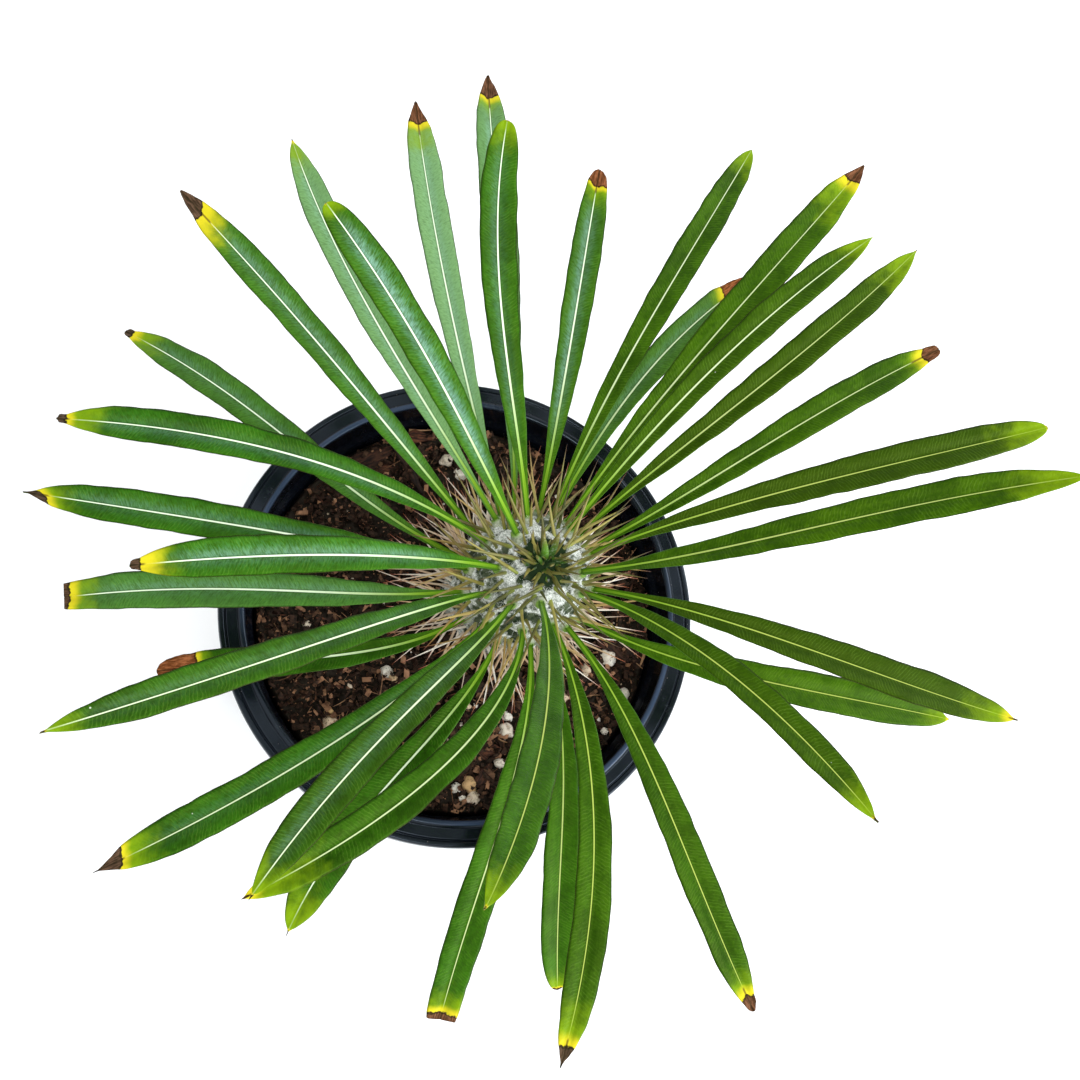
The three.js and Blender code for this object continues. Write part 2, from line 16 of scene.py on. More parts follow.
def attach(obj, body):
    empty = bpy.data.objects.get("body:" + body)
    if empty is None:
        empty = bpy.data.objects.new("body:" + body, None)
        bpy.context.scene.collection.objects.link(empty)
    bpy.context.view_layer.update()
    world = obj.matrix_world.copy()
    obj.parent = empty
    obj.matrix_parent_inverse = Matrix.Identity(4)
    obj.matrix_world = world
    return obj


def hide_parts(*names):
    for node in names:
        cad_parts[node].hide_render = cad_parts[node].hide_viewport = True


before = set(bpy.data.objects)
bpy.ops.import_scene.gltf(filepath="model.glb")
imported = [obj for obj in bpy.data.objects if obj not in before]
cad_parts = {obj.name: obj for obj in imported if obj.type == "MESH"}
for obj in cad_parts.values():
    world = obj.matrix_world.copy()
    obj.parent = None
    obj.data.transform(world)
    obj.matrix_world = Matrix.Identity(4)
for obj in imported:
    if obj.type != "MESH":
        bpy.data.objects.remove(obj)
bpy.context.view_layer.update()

# ---------------------------------------------------------------- driving dimensions

MM = 0.001

POT = Sizes(
    height=160, wall=1.5, foot_radius=64, shoulder_radius=73.2, shoulder_height=147,
    step_rise=2.5, step_width=1.7, neck_radius=75.6, foot_height=2.2, floor=2,
    foot_ring=(54.5, 61.5), disc_radius=24, bevel=1.5, heel=3, sides=160,
)
RIM = Sizes(
    radius=82.5, roof=2.1, skirt=12.5, lip=1.9, lip_low=0.9, groove=0.5, groove_low=1.5,
    ring_low=0.5, bead=6.4, bead_width=2.7, bead_height=1.2, bead_low=2.6, bead_steps=15,
)
DRAIN = Sizes(count=6, radius=5, ring=39, depth=12, sides=40)
SOIL = Sizes(level=145, relief=1.4, calm=(22, 30), heel=2, shoulder=3, gap=0.3)
BARK = Sizes(thickness=2.4, slender=0.36, proud=0.3, tilt=0.14)
SCATTER = Sizes(bark=16, bark_length=(5, 13), perlite=5, reach=65, clear_of_stem=24)
# Fine litter, drawn at random: how much of it, its sizes from least to most, and how it lies.
CHIPS = Sizes(
    count=300, length=(1.6, 6), crowding=3, tilt=(-0.8, 0.8), lift=0.8, slender=(0.25, 0.6),
    thickness=5, thin=0.17, long_from=8, wide_from=6.6,
)
GRAINS = Sizes(count=150, size=(0.7, 2), crowding=2, placed=(3.2, 5.6), lift=0.12, tilt=0.2)
CRUMBS = Sizes(
    drawn=10500, reach=70.4, edge=70.9, clear_of_stem=1.5, flakes=0.72, tilt=(-1.3, 1.3),
    flake=(0.7, 4.6), flake_crowding=2.8, lump=(0.4, 2), lump_crowding=3, slender=(0.7, 1.3),
    sunk=0.2, heaped=1.3, flake_tone=2.4, lump_tone=0.9, flake_shapes=6, lump_shapes=4,
)
FIBRES = Sizes(
    count=330, length=(2.5, 13), crowding=2.5, width=(0.12, 0.34), slope=(-6, 18), lift=0.9,
    straight_above=0.35, sliver_end=1.3,
)
BED = Sizes(rings=74, sides=230, rough=2.2, sunk=1.1, hollows=4, calm_hole=6, calm_edge=3)
# The largest chips and grains: place, direction in degrees and length, and place and size.
BARK_PIECES = [
    (-18.8, 51.3, -58, 24), (-32.4, 56.3, 30, 16), (-15.2, 65.2, 3, 10), (-28.5, 52.5, 0, 9.5),
    (-45.8, 38, -45, 6.5), (13.5, -49, -5, 9), (10.1, -57.3, 60, 10), (58.4, -10.9, -37, 17),
    (7.5, -27, -12, 13), (64, 11.7, 70, 6.5),
]
PERLITE_GRAINS = [
    (-0.1, 52, 5.4), (-5.4, 57.6, 6), (-43.2, -40.5, 5.2), (-24.9, -22.7, 5), (18, -36.7, 4.4),
    (17.3, -42.4, 6), (5.3, -61.1, 6.2), (6.5, -65.2, 4.6), (0.4, -61.9, 4), (15.3, -53.5, 4.2),
    (38.2, -30.1, 4.8), (46, -19.7, 4.6), (53.5, -14.7, 6), (60.5, -27.5, 5),
]
SMALL_GRAINS = [
    (-43.7, -37.1, 3), (-36.7, -27.6, 2.6), (3.4, -34, 3), (-3, -46.7, 3.2), (53.4, -41.1, 3),
    (51.3, -37.2, 2.4), (-53.1, -7.2, 3), (-22.4, -25.1, 3.2), (8.3, -59.3, 3.4), (2.8, -65.4, 2.8),
]
# Long slivers of bark and roots on the soil: two ends, bulge sideways and width.
SLIVERS = [
    ((-40.6, 54.5), (-27.6, 65), 2.4, 2.2),
    ((-20, 67.6), (-10.5, 68.6), 0.6, 1.6),
    ((51.8, -5.5), (68, -18), 0.8, 1.7),
    ((1.1, -24.9), (13.9, -27.2), 0.3, 1.6),
    ((68.6, -8), (67, -17), 0.8, 2.2),
    ((-33, -29), (-27, -31), 0.2, 0.8),
]

STEM = Sizes(
    foot=(12.4, 3.7), lean=(6.6, -1.7), height=65, belt=38, belt_radius=20, foot_radius=16,
    root_depth=28, root_radius=13, root_bevel=(3, 4), collar=(9, 0.5), sides=150, ring=0.9,
)
GOLDEN_ANGLE = 137.508
TUBERCLE = Sizes(height=2, reach=5.4, first=9, last=59, step=0.82, apart=6.2, grown=6)
YOUNG = Sizes(
    first=1.9, step=0.3, apart=4.4, hands=(-14, 14), length=(16, 27), slopes=(30, 8), radius=0.68,
    lifted=20, astray=42,
)
THICKET = Sizes(
    above=27, hands=(-58, -20, 20, 58), length=(15, 27), slopes=(16, -16), radius=0.5,
    flattens=(25, 60), lifted=16, aside=4, shifted=2, astray=50,
)
THORN = Sizes(
    count=20, down=(0.25, 2.4), slopes=(62, 14), lifted=14, length=(4, 11), radius=0.75, astray=60,
)
WOOL = Sizes(
    hairs=44, length=(0.9, 3.2), radius=0.07, lumps=0.8, fluff=0.3, spread=0.68, rise=(0.15, 0.7),
    turn=(-90, 90), slope=(-60, 70), sunk=0.1,
)
CUSHION = Sizes(height=3.2, top=1.35, foot=2.9, sunk=1.5, overlap=0.7)
SPINE = Sizes(
    length=27, vary=(0.8, 1.15), young=0.7, ripe=(3, 14), slopes=(42, -4), wander=8, radius=0.68,
    sunk=2.2, spread=36, aside=3, above=3.2, middle=0.65, lift=26, room=2.3, floor=3.5,
    bends=(0, 8, 16, 24, 34), shares=(1, 0.8, 0.6), lowest=60, thick=(0.85, 1.1), thins=0.72,
    thins_over=(20, 50), probe_from=4.5, probe_step=2.5, beyond=1,
)
TIP = Sizes(
    spikes=11, spike_ring=(2.2, 6.5), spike_length=(6, 11), spike_slope=(70, 28), spike_radius=1,
    spike_slim=0.85, buds=5, bud_ring=1.5, bud_length=(9, 15), bud_slope=(66, 84), bud_radius=1.5,
    low=0.8,
)
BUDLET = Sizes(
    count=26, turned=40, ring=(0.5, 5.2), slope=(80, 38), down=(0.3, 1.6), width=(0.5, 1.0),
    length=(3, 6.5), green_side=-50,
)
PETIOLE = Sizes(width=2.6, thickness=2.1, edge=1.47, share=0.04, thins=0.35, slim=0.68)
BLADE = Sizes(
    thickness=0.65, midrib=1.15, widest=0.7, swell=1.2, blunt=(3.4, 0.8), fold=17, tip_width=0.7,
    rows=100, half_columns=8, under_columns=6, ridge=0.3, ridge_width=0.5, bulge=0.45,
    wave=0.5, waves=11, wobble=0.45, wobbles=12, shiver=0.2, shivers=4, even_end=12, flat_end=10,
    groove=0.14, groove_out=1.05, groove_width=0.4, keel_width=0.8, rim=0.75,
)
WITHERED = Sizes(ragged=0.5, shrinks=0.06, thins=0.45, wrinkle=0.6, curls=0.4, wrinkles=(1.8, 1.4))
HAIR = Sizes(tip=0.2, foot=0.45)  # widths of the dry hair that ends some leaves
LEAF_STEPS = 50  # a leaf's middle line is followed in this many equal steps

# One row for each leaf: side, down, length, width, rise, droop, turn, sweep and end as in the
# frame. Then its end's look: withered, yellow and lime lengths in mm, tone of the withered part
# from black 0 to orange 1, how far it runs back along the midrib and to the right, how blunt it
# is from 1 for a point, and the length of a last hair. Last, how dark the leaf's green is, partly
# its own green and partly painted shade, with lighter leaves below 0 and a painted pale sheen on
# the palest; and how much painted sheen it has, most on the right half or, below 0, on the left.
LEAF_ROWS = [
    (95, 31, 166, 13, 22, 26, 3, -5, "dry", 9, 2.2, 7, 0.45, 1.4, 0, 1.1, 0, -0.75, -0.5),
    (106, 8, 123, 12, 41, 28, 17, -41, "green", 0, 0.2, 12, 0.3, 0, 0, 1.9, 0, -0.15, -0.2),
    (83, 19, 119, 11, 33, 30, 1, -3, "stub", 6, 1.4, 7, 0.72, 0.8, 0.8, 1.6, 0, -0.35, -0.5),
    (72, 16, 146, 11, 32, 30, -13, 2, "green", 0, 0.2, 15, 0.3, 0, 0, 1.25, 0, 0.05, 0),
    (66, 24, 122, 11, 23, 30, -1, -26, "dry", 15, 2.5, 5, 0.95, 1, 0, 1.5, 0, -0.45, -0.2),
    (58, 12, 152, 12, 43, 35, -11, 4, "dry", 7, 3.4, 20, 0.55, 0.6, -0.5, 1.1, 0, 0.05, 0),
    (53, 6, 131, 10, 49, 36, 2, -19, "green", 0, 0.2, 16, 0.3, 0, 0, 1, 0.6, 0.5, 0),
    (41, 16, 146, 11, 41, 33, -11, 16, "green", 0.8, 0.2, 23, 0.5, 0, 0, 1, 0.8, 0.85, 0),
    (25, 21, 139, 11.5, 34, 30, 16, -13, "dry", 6, 3.4, 7, 0.55, 1.5, 0, 2.2, 0, 0.1, 0),
    (16, 10, 145, 11.5, 45, 32, -6, 4, "green", 0, 0.5, 20, 0.4, 0, 0, 1.5, 0, 1, 0),
    (-15, 4, 147, 10.5, 61, 32, 35, -17, "green", 0, 0.3, 24, 0.6, 0, 0, 1, 0, 0, 0),
    (-17, 14, 139, 12, 34, 34, -11, 14, "dry", 1.4, 3.4, 17, 0.6, 0.5, 0, 1, 1.2, 1, 0),
    (-36, 25, 130, 13, 27, 34, 31, -3, "green", 0, 1, 12, 0.5, 0, 0, 1, 0, -0.15, 0),
    (-35, 7, 113, 10, 51, 40, 0, -20, "green", 1.2, 0.8, 14, 0.6, 0.3, 0, 1, 1.2, 0.5, 0),
    (-57, 18, 130, 11.5, 26, 38, -20, 16, "dry", 4.5, 2.5, 7, 0.5, 0.8, 0, 1.6, 0, 0.3, 0),
    (-75, 12, 130, 11, 31, 36, 2, -34, "dry", 5.5, 2.5, 12, 0.25, 0.5, 0, 1, 0.8, 0.25, 0),
    (-71, 29, 114, 12.5, 10, 38, -32, 21, "green", 0.8, 0.5, 8, 0.6, 0, 0, 1.6, 0, -0.2, 0),
    (-95, 5, 126, 10.5, 55, 20, 4, -31, "green", 0, 0.6, 14, 0.4, 0, 0, 1, 0, -0.1, 0),
    (-87, 23, 124, 12.5, 8, 37, -30, 17, "stub", 2.4, 2, 8, 0.5, 0, 0, 8, 0, -0.15, 0),
    (-100, 16, 125, 11, 36, 22, -28, -25, "green", 0.5, 3, 20, 0.5, 1.6, 0, 1, 0.4, 0.35, 0),
    (-125, 8, 127, 10.5, 45, 27, -23, 26, "green", 1.2, 0.5, 12, 0.4, 0, 0, 1, 1.2, 0.7, 0.15),
    (-112, 27, 114, 13.5, 11, 35, -50, 51, "green", 1.8, 0.8, 22, 0.4, 0, 0, 1, 1.8, 0.25, 0),
    (-130, 20, 136, 12, 25, 30, -10, -14, "dry", 8, 2, 11, 0.3, 0.2, 1.1, 1, 1.6, -0.1, 0.1),
    (-150, 13, 149, 9.5, 54, 31, 2, -8, "green", 1, 0.2, 9, 0.5, 0, 0, 1, 1, 0.4, 0.1),
    (-144, 31, 100, 11, 14, 31, -38, 7, "dry", 13, 1.4, 4, 0.85, 0.6, 0, 2, 0, 0.3, 0),
    (-164, 24, 121, 13, 26, 35, -30, 22, "stub", 1.8, 2.5, 8, 0.35, 0, 0.4, 8, 0, -0.5, 0.25),
    (-170, 6, 114, 11.5, 47, 34, -7, 10, "dry", 2.4, 5.1, 7, 0.3, 0.3, 0, 2.4, 0, -0.3, 0.4),
    (180, 18, 133, 11.5, 30, 30, -4, -2, "dry", 5.5, 2, 8, 0.2, 0.4, -2.6, 1, 1.4, -0.2, 0.25),
    (158, 11, 133, 11.5, 32, 35, 1, 21, "dry", 2.8, 2, 14, 0.08, 0.2, 0, 3.5, 0.4, -0.05, -0.2),
    (163, 28, 135, 11.5, 18, 30, -40, 28, "dry", 2.8, 2.5, 13, 0.08, 0, 0, 2.6, 0, -0.45, 0.2),
    (144, 22, 138, 11, 37, 27, -12, 6, "dry", 8, 6.8, 8, 0.3, 1.2, -2, 1.2, 0, -0.4, 0.35),
    (128, 15, 144, 11, 22, 24, 8, -27, "green", 0.8, 1.2, 15, 0.3, 0, 0, 1, 0.8, -0.85, -0.3),
    (138, 4, 114, 12, 53, 35, -21, 17, "green", 0, 0.2, 5, 0.3, 0, 0, 2, 0, -0.25, 0.8),
    (111, 26, 154, 12, 21, 25, -4, -10, "dry", 9, 2.6, 14, 0.55, 1.4, 0, 1, 0, -1, 0.35),
]
LEAF_FIELDS = (
    "side", "down", "length", "width", "rise", "droop", "turn", "sweep", "end", "withered", "yellow",
    "lime", "tone", "notch", "skew", "blunt", "hair", "deep", "bloom",
)
LEAVES = [
    Sizes(number=number, **dict(zip(LEAF_FIELDS, row)))
    for number, row in enumerate(LEAF_ROWS, start=1)
]
STUB_TAPER = {3: 0.47, 19: 0.18, 26: 0.36}  # share of the width that a broken blade loses

CAMERA = Sizes(place=(-0.0517, -0.0965, 0.5503), turn=(16.84, -11.37, 0), lens=38.93, sensor=36)

# ---------------------------------------------------------------- numbers and directions


def lerp(first, second, share):
    return first + (second - first) * share


def clamp(value, low, high):
    return max(low, min(high, value))


def smoothstep(value, low, high):
    share = clamp((value - low) / (high - low), 0, 1)
    return share * share * (3 - 2 * share)


def seeded(seed):
    """A repeatable row of numbers from 0 to 1."""
    state = seed

    def draw():
        nonlocal state
        state = (state * 1664525 + 1013904223) % 4294967296
        return state / 4294967296

    return draw


def pointing(side, slope):
    """A unit vector from its direction round +Z and its slope, both in degrees."""
    flat = math.cos(math.radians(slope))
    return np.array((
        flat * math.cos(math.radians(side)),
        flat * math.sin(math.radians(side)),
        math.sin(math.radians(slope)),
    ))


def turned_about_z(point, side):
    cosine, sine = math.cos(math.radians(side)), math.sin(math.radians(side))
    return np.array((point[0] * cosine - point[1] * sine, point[0] * sine + point[1] * cosine, point[2]))


def ripple(x, y, z=0.0):
    """Smooth noise between about -1 and 1."""
    return noise.noise(Vector((x, y, z)))


PLANT = np.array((*STEM.foot, SOIL.level))  # start of the plant's own axes

# ---------------------------------------------------------------- meshes


def spun(outline, sides):
    """A closed shape turned round Z from (radius, height) points that run from axis to axis."""
    bm = bmesh.new()
    points = [bm.verts.new((radius, 0, height)) for radius, height in outline]
    edges = [bm.edges.new(pair) for pair in zip(points, points[1:])]
    bmesh.ops.spin(
        bm, geom=points + edges, cent=(0, 0, 0), axis=(0, 0, 1), angle=math.tau, steps=sides,
        use_merge=True,
    )
    bmesh.ops.remove_doubles(bm, verts=bm.verts, dist=1e-4)
    bmesh.ops.recalc_face_normals(bm, faces=bm.faces)
    return bm


def template(bm, name):
    mesh = bpy.data.meshes.new(name)
    bm.to_mesh(mesh)
    bm.free()
    return mesh


def planted(shapes, spots):
    """Many copies of small meshes as one. A spot is which shape, its matrix, and two values."""
    bm = bmesh.new()
    for which, place, first, second in spots:
        copy = shapes[which % len(shapes)].copy()
        copy.transform(place)
        for mark in copy.attributes["grown"].data:
            mark.vector = (mark.vector[0], first, second)
        bm.from_mesh(copy)
        bpy.data.meshes.remove(copy)
    for shape in shapes:
        bpy.data.meshes.remove(shape)
    return bm


def cut_along(bm, axis, least, cuts, **settings):
    """Cuts every edge that runs further than the least along an axis, 0 to 2 for X to Z."""
    found = [e for e in bm.edges if abs(e.verts[0].co[axis] - e.verts[1].co[axis]) > least]
    bmesh.ops.subdivide_edges(bm, edges=found, cuts=cuts, **settings)


def placed(root, way, stretch, roll=0.0):
    """Takes a shape that stands on the origin to a root, along a way."""
    turn = Vector((0, 0, 1)).rotation_difference(Vector(way)).to_matrix().to_4x4()
    spin = Matrix.Rotation(roll, 4, "Z")
    return Matrix.Translation(Vector(root)) @ turn @ spin @ Matrix.Diagonal((*stretch, 1))


def lying(x, y, z, turn, tilt, size):
    """Takes a flat shape to a place on the soil."""
    spot = Matrix.Translation(Vector((x, y, z)))
    way = Matrix.Rotation(turn, 4, "Z") @ Matrix.Rotation(tilt, 4, "Y")
    return spot @ way @ Matrix.Diagonal((*size, 1))


def finished(bm, name, material, slot, *nodes, smooth=True):
    """The mesh, so far in millimetres, as a piece that stands for frame nodes."""
    bmesh.ops.scale(bm, vec=(MM,) * 3, verts=bm.verts)
    mesh = bpy.data.meshes.new(name)
    bm.to_mesh(mesh)
    bm.free()
    if smooth:
        mesh.shade_smooth()
    else:
        mesh.shade_flat()
    mesh.materials.append(material)
    piece = bpy.data.objects.new(name, mesh)
    bpy.context.scene.collection.objects.link(piece)
    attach(piece, "root")
    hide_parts(*nodes)
    return piece


# ---------------------------------------------------------------- laying shader nodes


class Signal:
    """A value, vector or colour in a node tree. Sums and products of signals lay math nodes."""

    def __init__(self, tree, socket):
        self.tree = tree
        self.socket = socket

    def __add__(self, other):
        return calc("ADD", self, other)

    def __sub__(self, other):
        return calc("SUBTRACT", self, other)

    def __rsub__(self, other):
        return calc("SUBTRACT", other, self)

    def __mul__(self, other):
        return calc("MULTIPLY", self, other)

    def __truediv__(self, other):
        return calc("DIVIDE", self, other)

    def __rtruediv__(self, other):
        return calc("DIVIDE", other, self)

    def __abs__(self):
        return calc("ABSOLUTE", self)

    __radd__ = __add__
    __rmul__ = __mul__


def colour(hexadecimal):
    """A colour socket's value from the way a screen writes the colour."""
    value = int(hexadecimal, 16)
    channels = [(value >> shift & 255) / 255 for shift in (16, 8, 0)]
    linear = [c / 12.92 if c <= 0.04045 else ((c + 0.055) / 1.055) ** 2.4 for c in channels]
    return (*linear, 1)


def link(socket, value):
    """Gives an input its value: a signal, a number, a vector, or a colour as a screen writes it."""
    if isinstance(value, Signal):
        value.tree.links.new(value.socket, socket)
    else:
        socket.default_value = colour(value) if isinstance(value, str) else value


def lay(tree, kind, output, inputs=None, **settings):
    """Adds a node and returns one of its outputs as a signal."""
    made = tree.nodes.new(kind)
    for name, value in settings.items():
        setattr(made, name, value)
    for key, value in (inputs or {}).items():
        link(made.inputs[key], value)
    return Signal(tree, made.outputs[output])


def calc(operation, *values):
    tree = next(value.tree for value in values if isinstance(value, Signal))
    return lay(tree, "ShaderNodeMath", 0, dict(enumerate(values)), operation=operation)


def span(value, low, high):
    """0 up to low, 1 from high, and smooth between; low may be the greater."""
    inputs = {"Value": value, "From Min": low, "From Max": high}
    return lay(value.tree, "ShaderNodeMapRange", "Result", inputs, interpolation_type="SMOOTHSTEP")


def blend(share, first, second):
    """One colour turning into another. The mix node's colour sockets are inputs 6 and 7."""
    return lay(share.tree, "ShaderNodeMix", 2, {0: share, 6: first, 7: second}, data_type="RGBA")


def split(vector):
    """The X, Y and Z of a vector as three signals."""
    axes = lay(vector.tree, "ShaderNodeSeparateXYZ", 0, {0: vector}).socket.node.outputs
    return [Signal(vector.tree, axis) for axis in axes]


def joined(tree, *axes):
    return lay(tree, "ShaderNodeCombineXYZ", 0, dict(enumerate(axes)))


def stretched(place, *scale):
    return lay(place.tree, "ShaderNodeMapping", 0, {"Vector": place, "Scale": scale})


def attribute(tree, name):
    """The three values of a mesh attribute."""
    return split(lay(tree, "ShaderNodeAttribute", "Vector", attribute_name=name))


def in_millimetres(tree):
    """The place on the object in millimetres."""
    inputs = {0: lay(tree, "ShaderNodeTexCoord", "Object"), "Scale": 1 / MM}
    return lay(tree, "ShaderNodeVectorMath", 0, inputs, operation="SCALE")


def cloud(place, size, detail=3.0, roughness=0.55):
    """Noise whose lumps are about so many millimetres across, as a value."""
    inputs = {"Vector": place, "Scale": 1 / size, "Detail": detail, "Roughness": roughness}
    return lay(place.tree, "ShaderNodeTexNoise", "Fac", inputs)


def raised(height, distance, strength, below=None):
    """A normal from a height from 0 to 1 that stands so many millimetres high."""
    inputs = {"Height": height, "Distance": distance * MM, "Strength": strength}
    if below is not None:
        inputs["Normal"] = below
    return lay(height.tree, "ShaderNodeBump", "Normal", inputs)


def finish(name, roughness, specular, **sockets):
    """A new material's node tree and its surface shader."""
    material = bpy.data.materials.new(name)
    material.use_nodes = True
    tree = material.node_tree
    surface = tree.nodes["Principled BSDF"]
    for socket, value in {"Roughness": roughness, "Specular IOR Level": specular, **sockets}.items():
        surface.inputs[socket.replace("_", " ")].default_value = value
    return material, tree, surface


def group(name, inputs, output):
    """An empty node group with named sockets: its tree, its inputs as signals and its output."""
    tree = bpy.data.node_groups.new(name, "ShaderNodeTree")
    for kind, key, value in inputs:
        socket = tree.interface.new_socket(key, in_out="INPUT", socket_type=f"NodeSocket{kind}")
        if value is not None:
            socket.default_value = value
    kind, key = output
    tree.interface.new_socket(key, in_out="OUTPUT", socket_type=f"NodeSocket{kind}")
    given = {socket.name: Signal(tree, socket) for socket in tree.nodes.new("NodeGroupInput").outputs}
    return tree, given, tree.nodes.new("NodeGroupOutput").inputs[key]


def mottle_group():
    """Two colours in soft patches, with a finer grain over them."""
    tree, given, result = group(
        "mottle",
        [("Vector", "Place", None), ("Float", "Patch", 8.0), ("Float", "Grain", 1.0),
         ("Color", "Dark", None), ("Color", "Light", None)],
        ("Color", "Colour"),
    )

    def noisy(size, detail):
        inputs = {"Vector": given["Place"], "Scale": 1.0 / given[size], "Detail": detail}
        return lay(tree, "ShaderNodeTexNoise", "Fac", inputs)

    both = noisy("Patch", 3.0) * 0.65 + noisy("Grain", 2.0) * 0.35
    link(result, blend(span(both, 0.36, 0.64), given["Dark"], given["Light"]))
    return tree


def specks_group():
    """Small scattered specks: a mask that is 1 on them."""
    tree, given, result = group(
        "specks",
        [("Vector", "Place", None), ("Float", "Apart", 10.0), ("Float", "Size", 0.04),
         ("Float", "Share", 0.4)],
        ("Float", "Mask"),
    )
    inputs = {"Vector": given["Place"], "Scale": 1.0 / given["Apart"]}
    distance = lay(tree, "ShaderNodeTexVoronoi", "Distance", inputs)
    drawn = split(Signal(tree, distance.socket.node.outputs["Color"]))[0]
    near = span(distance, given["Size"], given["Size"] * 0.5)
    link(result, near * calc("LESS_THAN", drawn, given["Share"]))
    return tree


MOTTLE = mottle_group()
SPECKS = specks_group()


def mottle(place, patch, grain, dark, light):
    inputs = {"Place": place, "Patch": patch, "Grain": grain, "Dark": dark, "Light": light}
    return lay(place.tree, "ShaderNodeGroup", "Colour", inputs, node_tree=MOTTLE)


def specks(place, apart, size, share):
    inputs = {"Place": place, "Apart": apart, "Size": size, "Share": share}
    return lay(place.tree, "ShaderNodeGroup", "Mask", inputs, node_tree=SPECKS)


# ---------------------------------------------------------------- materials


def leaf_flesh(tree, place, away):
    """Green flesh with fine side veins and a painted pale sheen, and the streaks that both follow."""
    aside, along, _ = attribute(tree, "blade")
    _, warmth, deep = attribute(tree, "kind")
    cool = mottle(place, 12.0, 1.4, "123e04", "245a0b")
    warm = mottle(place, 12.0, 1.4, "234302", "375902")
    fresh = blend(warmth, cool, warm)
    # Darker for leaves whose value is above 0, partly painted shade; lighter below 0, and pale grey-green
    # below -0.3 as painted sheen.
    dusky = blend(deep * 0.75, fresh, "253902")
    light = blend(deep * -0.45, dusky, "4d8a12")
    green = blend(span(deep, -0.3, -1.1) * 0.75, light, "7ea473")

    # Side veins slant slightly forward from the midrib and run in step on both halves.
    slant = along - away * 0.5
    shaken = slant + cloud(place, 3.0) * 2.2
    wave = calc("SINE", shaken * (math.tau / 1.05))
    vein = span(wave, 0.5, 1.0) * span(cloud(place, 6.0), 0.35, 0.6)
    slanted = joined(tree, slant / 0.4, aside / 1.5, deep)
    streaks = cloud(slanted, 1.0, 4.0, 0.65)
    dappled = blend(span(streaks, 0.56, 0.34) * 0.4, green, "0d2a03")
    # Painted sheen: pale blue-green laid on the leaf halves that face the light, strongest beside the
    # midrib, in place of its reflection.
    bloom = attribute(tree, "sheen_paint")[0]
    beside = span(away, 3.6, 0.8)
    sheen = blend(beside, "5f9c74", "8fb8ae")
    sheen_mask = bloom * (beside * 0.45 + span(streaks, 0.36, 0.66))
    sheened = blend(sheen_mask * 0.55, dappled, sheen)
    return blend(vein * 0.09, sheened, "8cb84a"), streaks


def leaf_rib(tree, flesh, away):
    """The petiole and the midrib, which turn from lime to cream outwards, with painted shade beside the
    midrib, and the thin margin.
    """
    _, along, share = attribute(tree, "blade")
    rib_hue_and_light = attribute(tree, "turned")[2]
    outwards = span(along, 12.0, 60.0)
    # The midrib is pale cream on leaves that point left and yellow-green on leaves that point right:
    # partly its own hue, partly a painted highlight on the left-pointing ones.
    pale = blend(span(rib_hue_and_light, 0.1, 0.9), "e0edcf", "a9b856")
    rib_colour = blend(outwards, "7fa52a", pale)
    tapers = {"Value": along, "From Min": 0.0, "From Max": 115.0, "To Min": 0.42, "To Max": 0.14}
    thin = lay(tree, "ShaderNodeMapRange", "Result", tapers)
    finer = thin * (1.0 - rib_hue_and_light * 0.38)
    rib_half = finer + span(along, 24.0, 6.0) * 0.15
    beyond = away - rib_half
    # Painted shade: a dark green line along each side of the raised midrib.
    shaded = blend(span(beyond, 0.55, 0.1) * 0.45, flesh, "0c2604")
    ribbed = blend(span(beyond, 0.1, -0.06), shaded, rib_colour)
    stalked = blend(span(along, 26.0, 3.0) * 0.6, ribbed, "4b7a10")

    # The margin is pale beside the petiole and reddish brown round the blade.
    rim_colour = blend(span(along, 35.0, 65.0), "5f8f3c", "33261a")
    return blend(span(abs(share), 0.945, 0.99) * 0.8, stalked, rim_colour)


def leaf_end(tree, place, edged, away):
    """An end ripened through lime to yellow and withered to brown, its dead part and its grain."""
    aside, along, _ = attribute(tree, "blade")
    edge, band, fade = attribute(tree, "end")
    tone, _, deep = attribute(tree, "kind")
    streak = attribute(tree, "turned")[1]
    ragged = (cloud(place, 1.6) - 0.5) * 2.0
    torn = edge + ragged
    uneven = (cloud(place, 5.0) - 0.5) * 1.2
    lime = span(fade + uneven, 1.0, 0.0)
    yellow = span(band + uneven, 1.6, 0.2)
    limed = blend(lime * 0.88, edged, "74920a")
    yellowed = blend(yellow * 0.9, limed, "cdbb22")
    scorched = span(streak, 0.5, -0.5) * span(away, 0.45, 0.15)
    browning = blend(scorched * 0.75, yellowed, "4a2c12")
    drawn_out = joined(tree, aside * 2.2, along * 0.35, deep)
    grain = cloud(drawn_out, 1.0, 4.0, 0.6)
    bark = blend(span(grain, 0.35, 0.7), "2c201d", "5d473c")
    rust = blend(span(grain, 0.35, 0.7), "5b2a14", "a25f3a")
    brown = blend(span(tone, 0.15, 1.0), bark, rust)
    folded = blend(span(away, 0.5, 0.1) * 0.6, brown, "1c120e")
    dead = span(torn, 0.12, -0.12)
    browned = blend(dead, browning, folded)
    border = span(abs(torn + 0.3), 0.42, 0.1)
    return blend(border * 0.75, browned, "150c09"), dead, grain


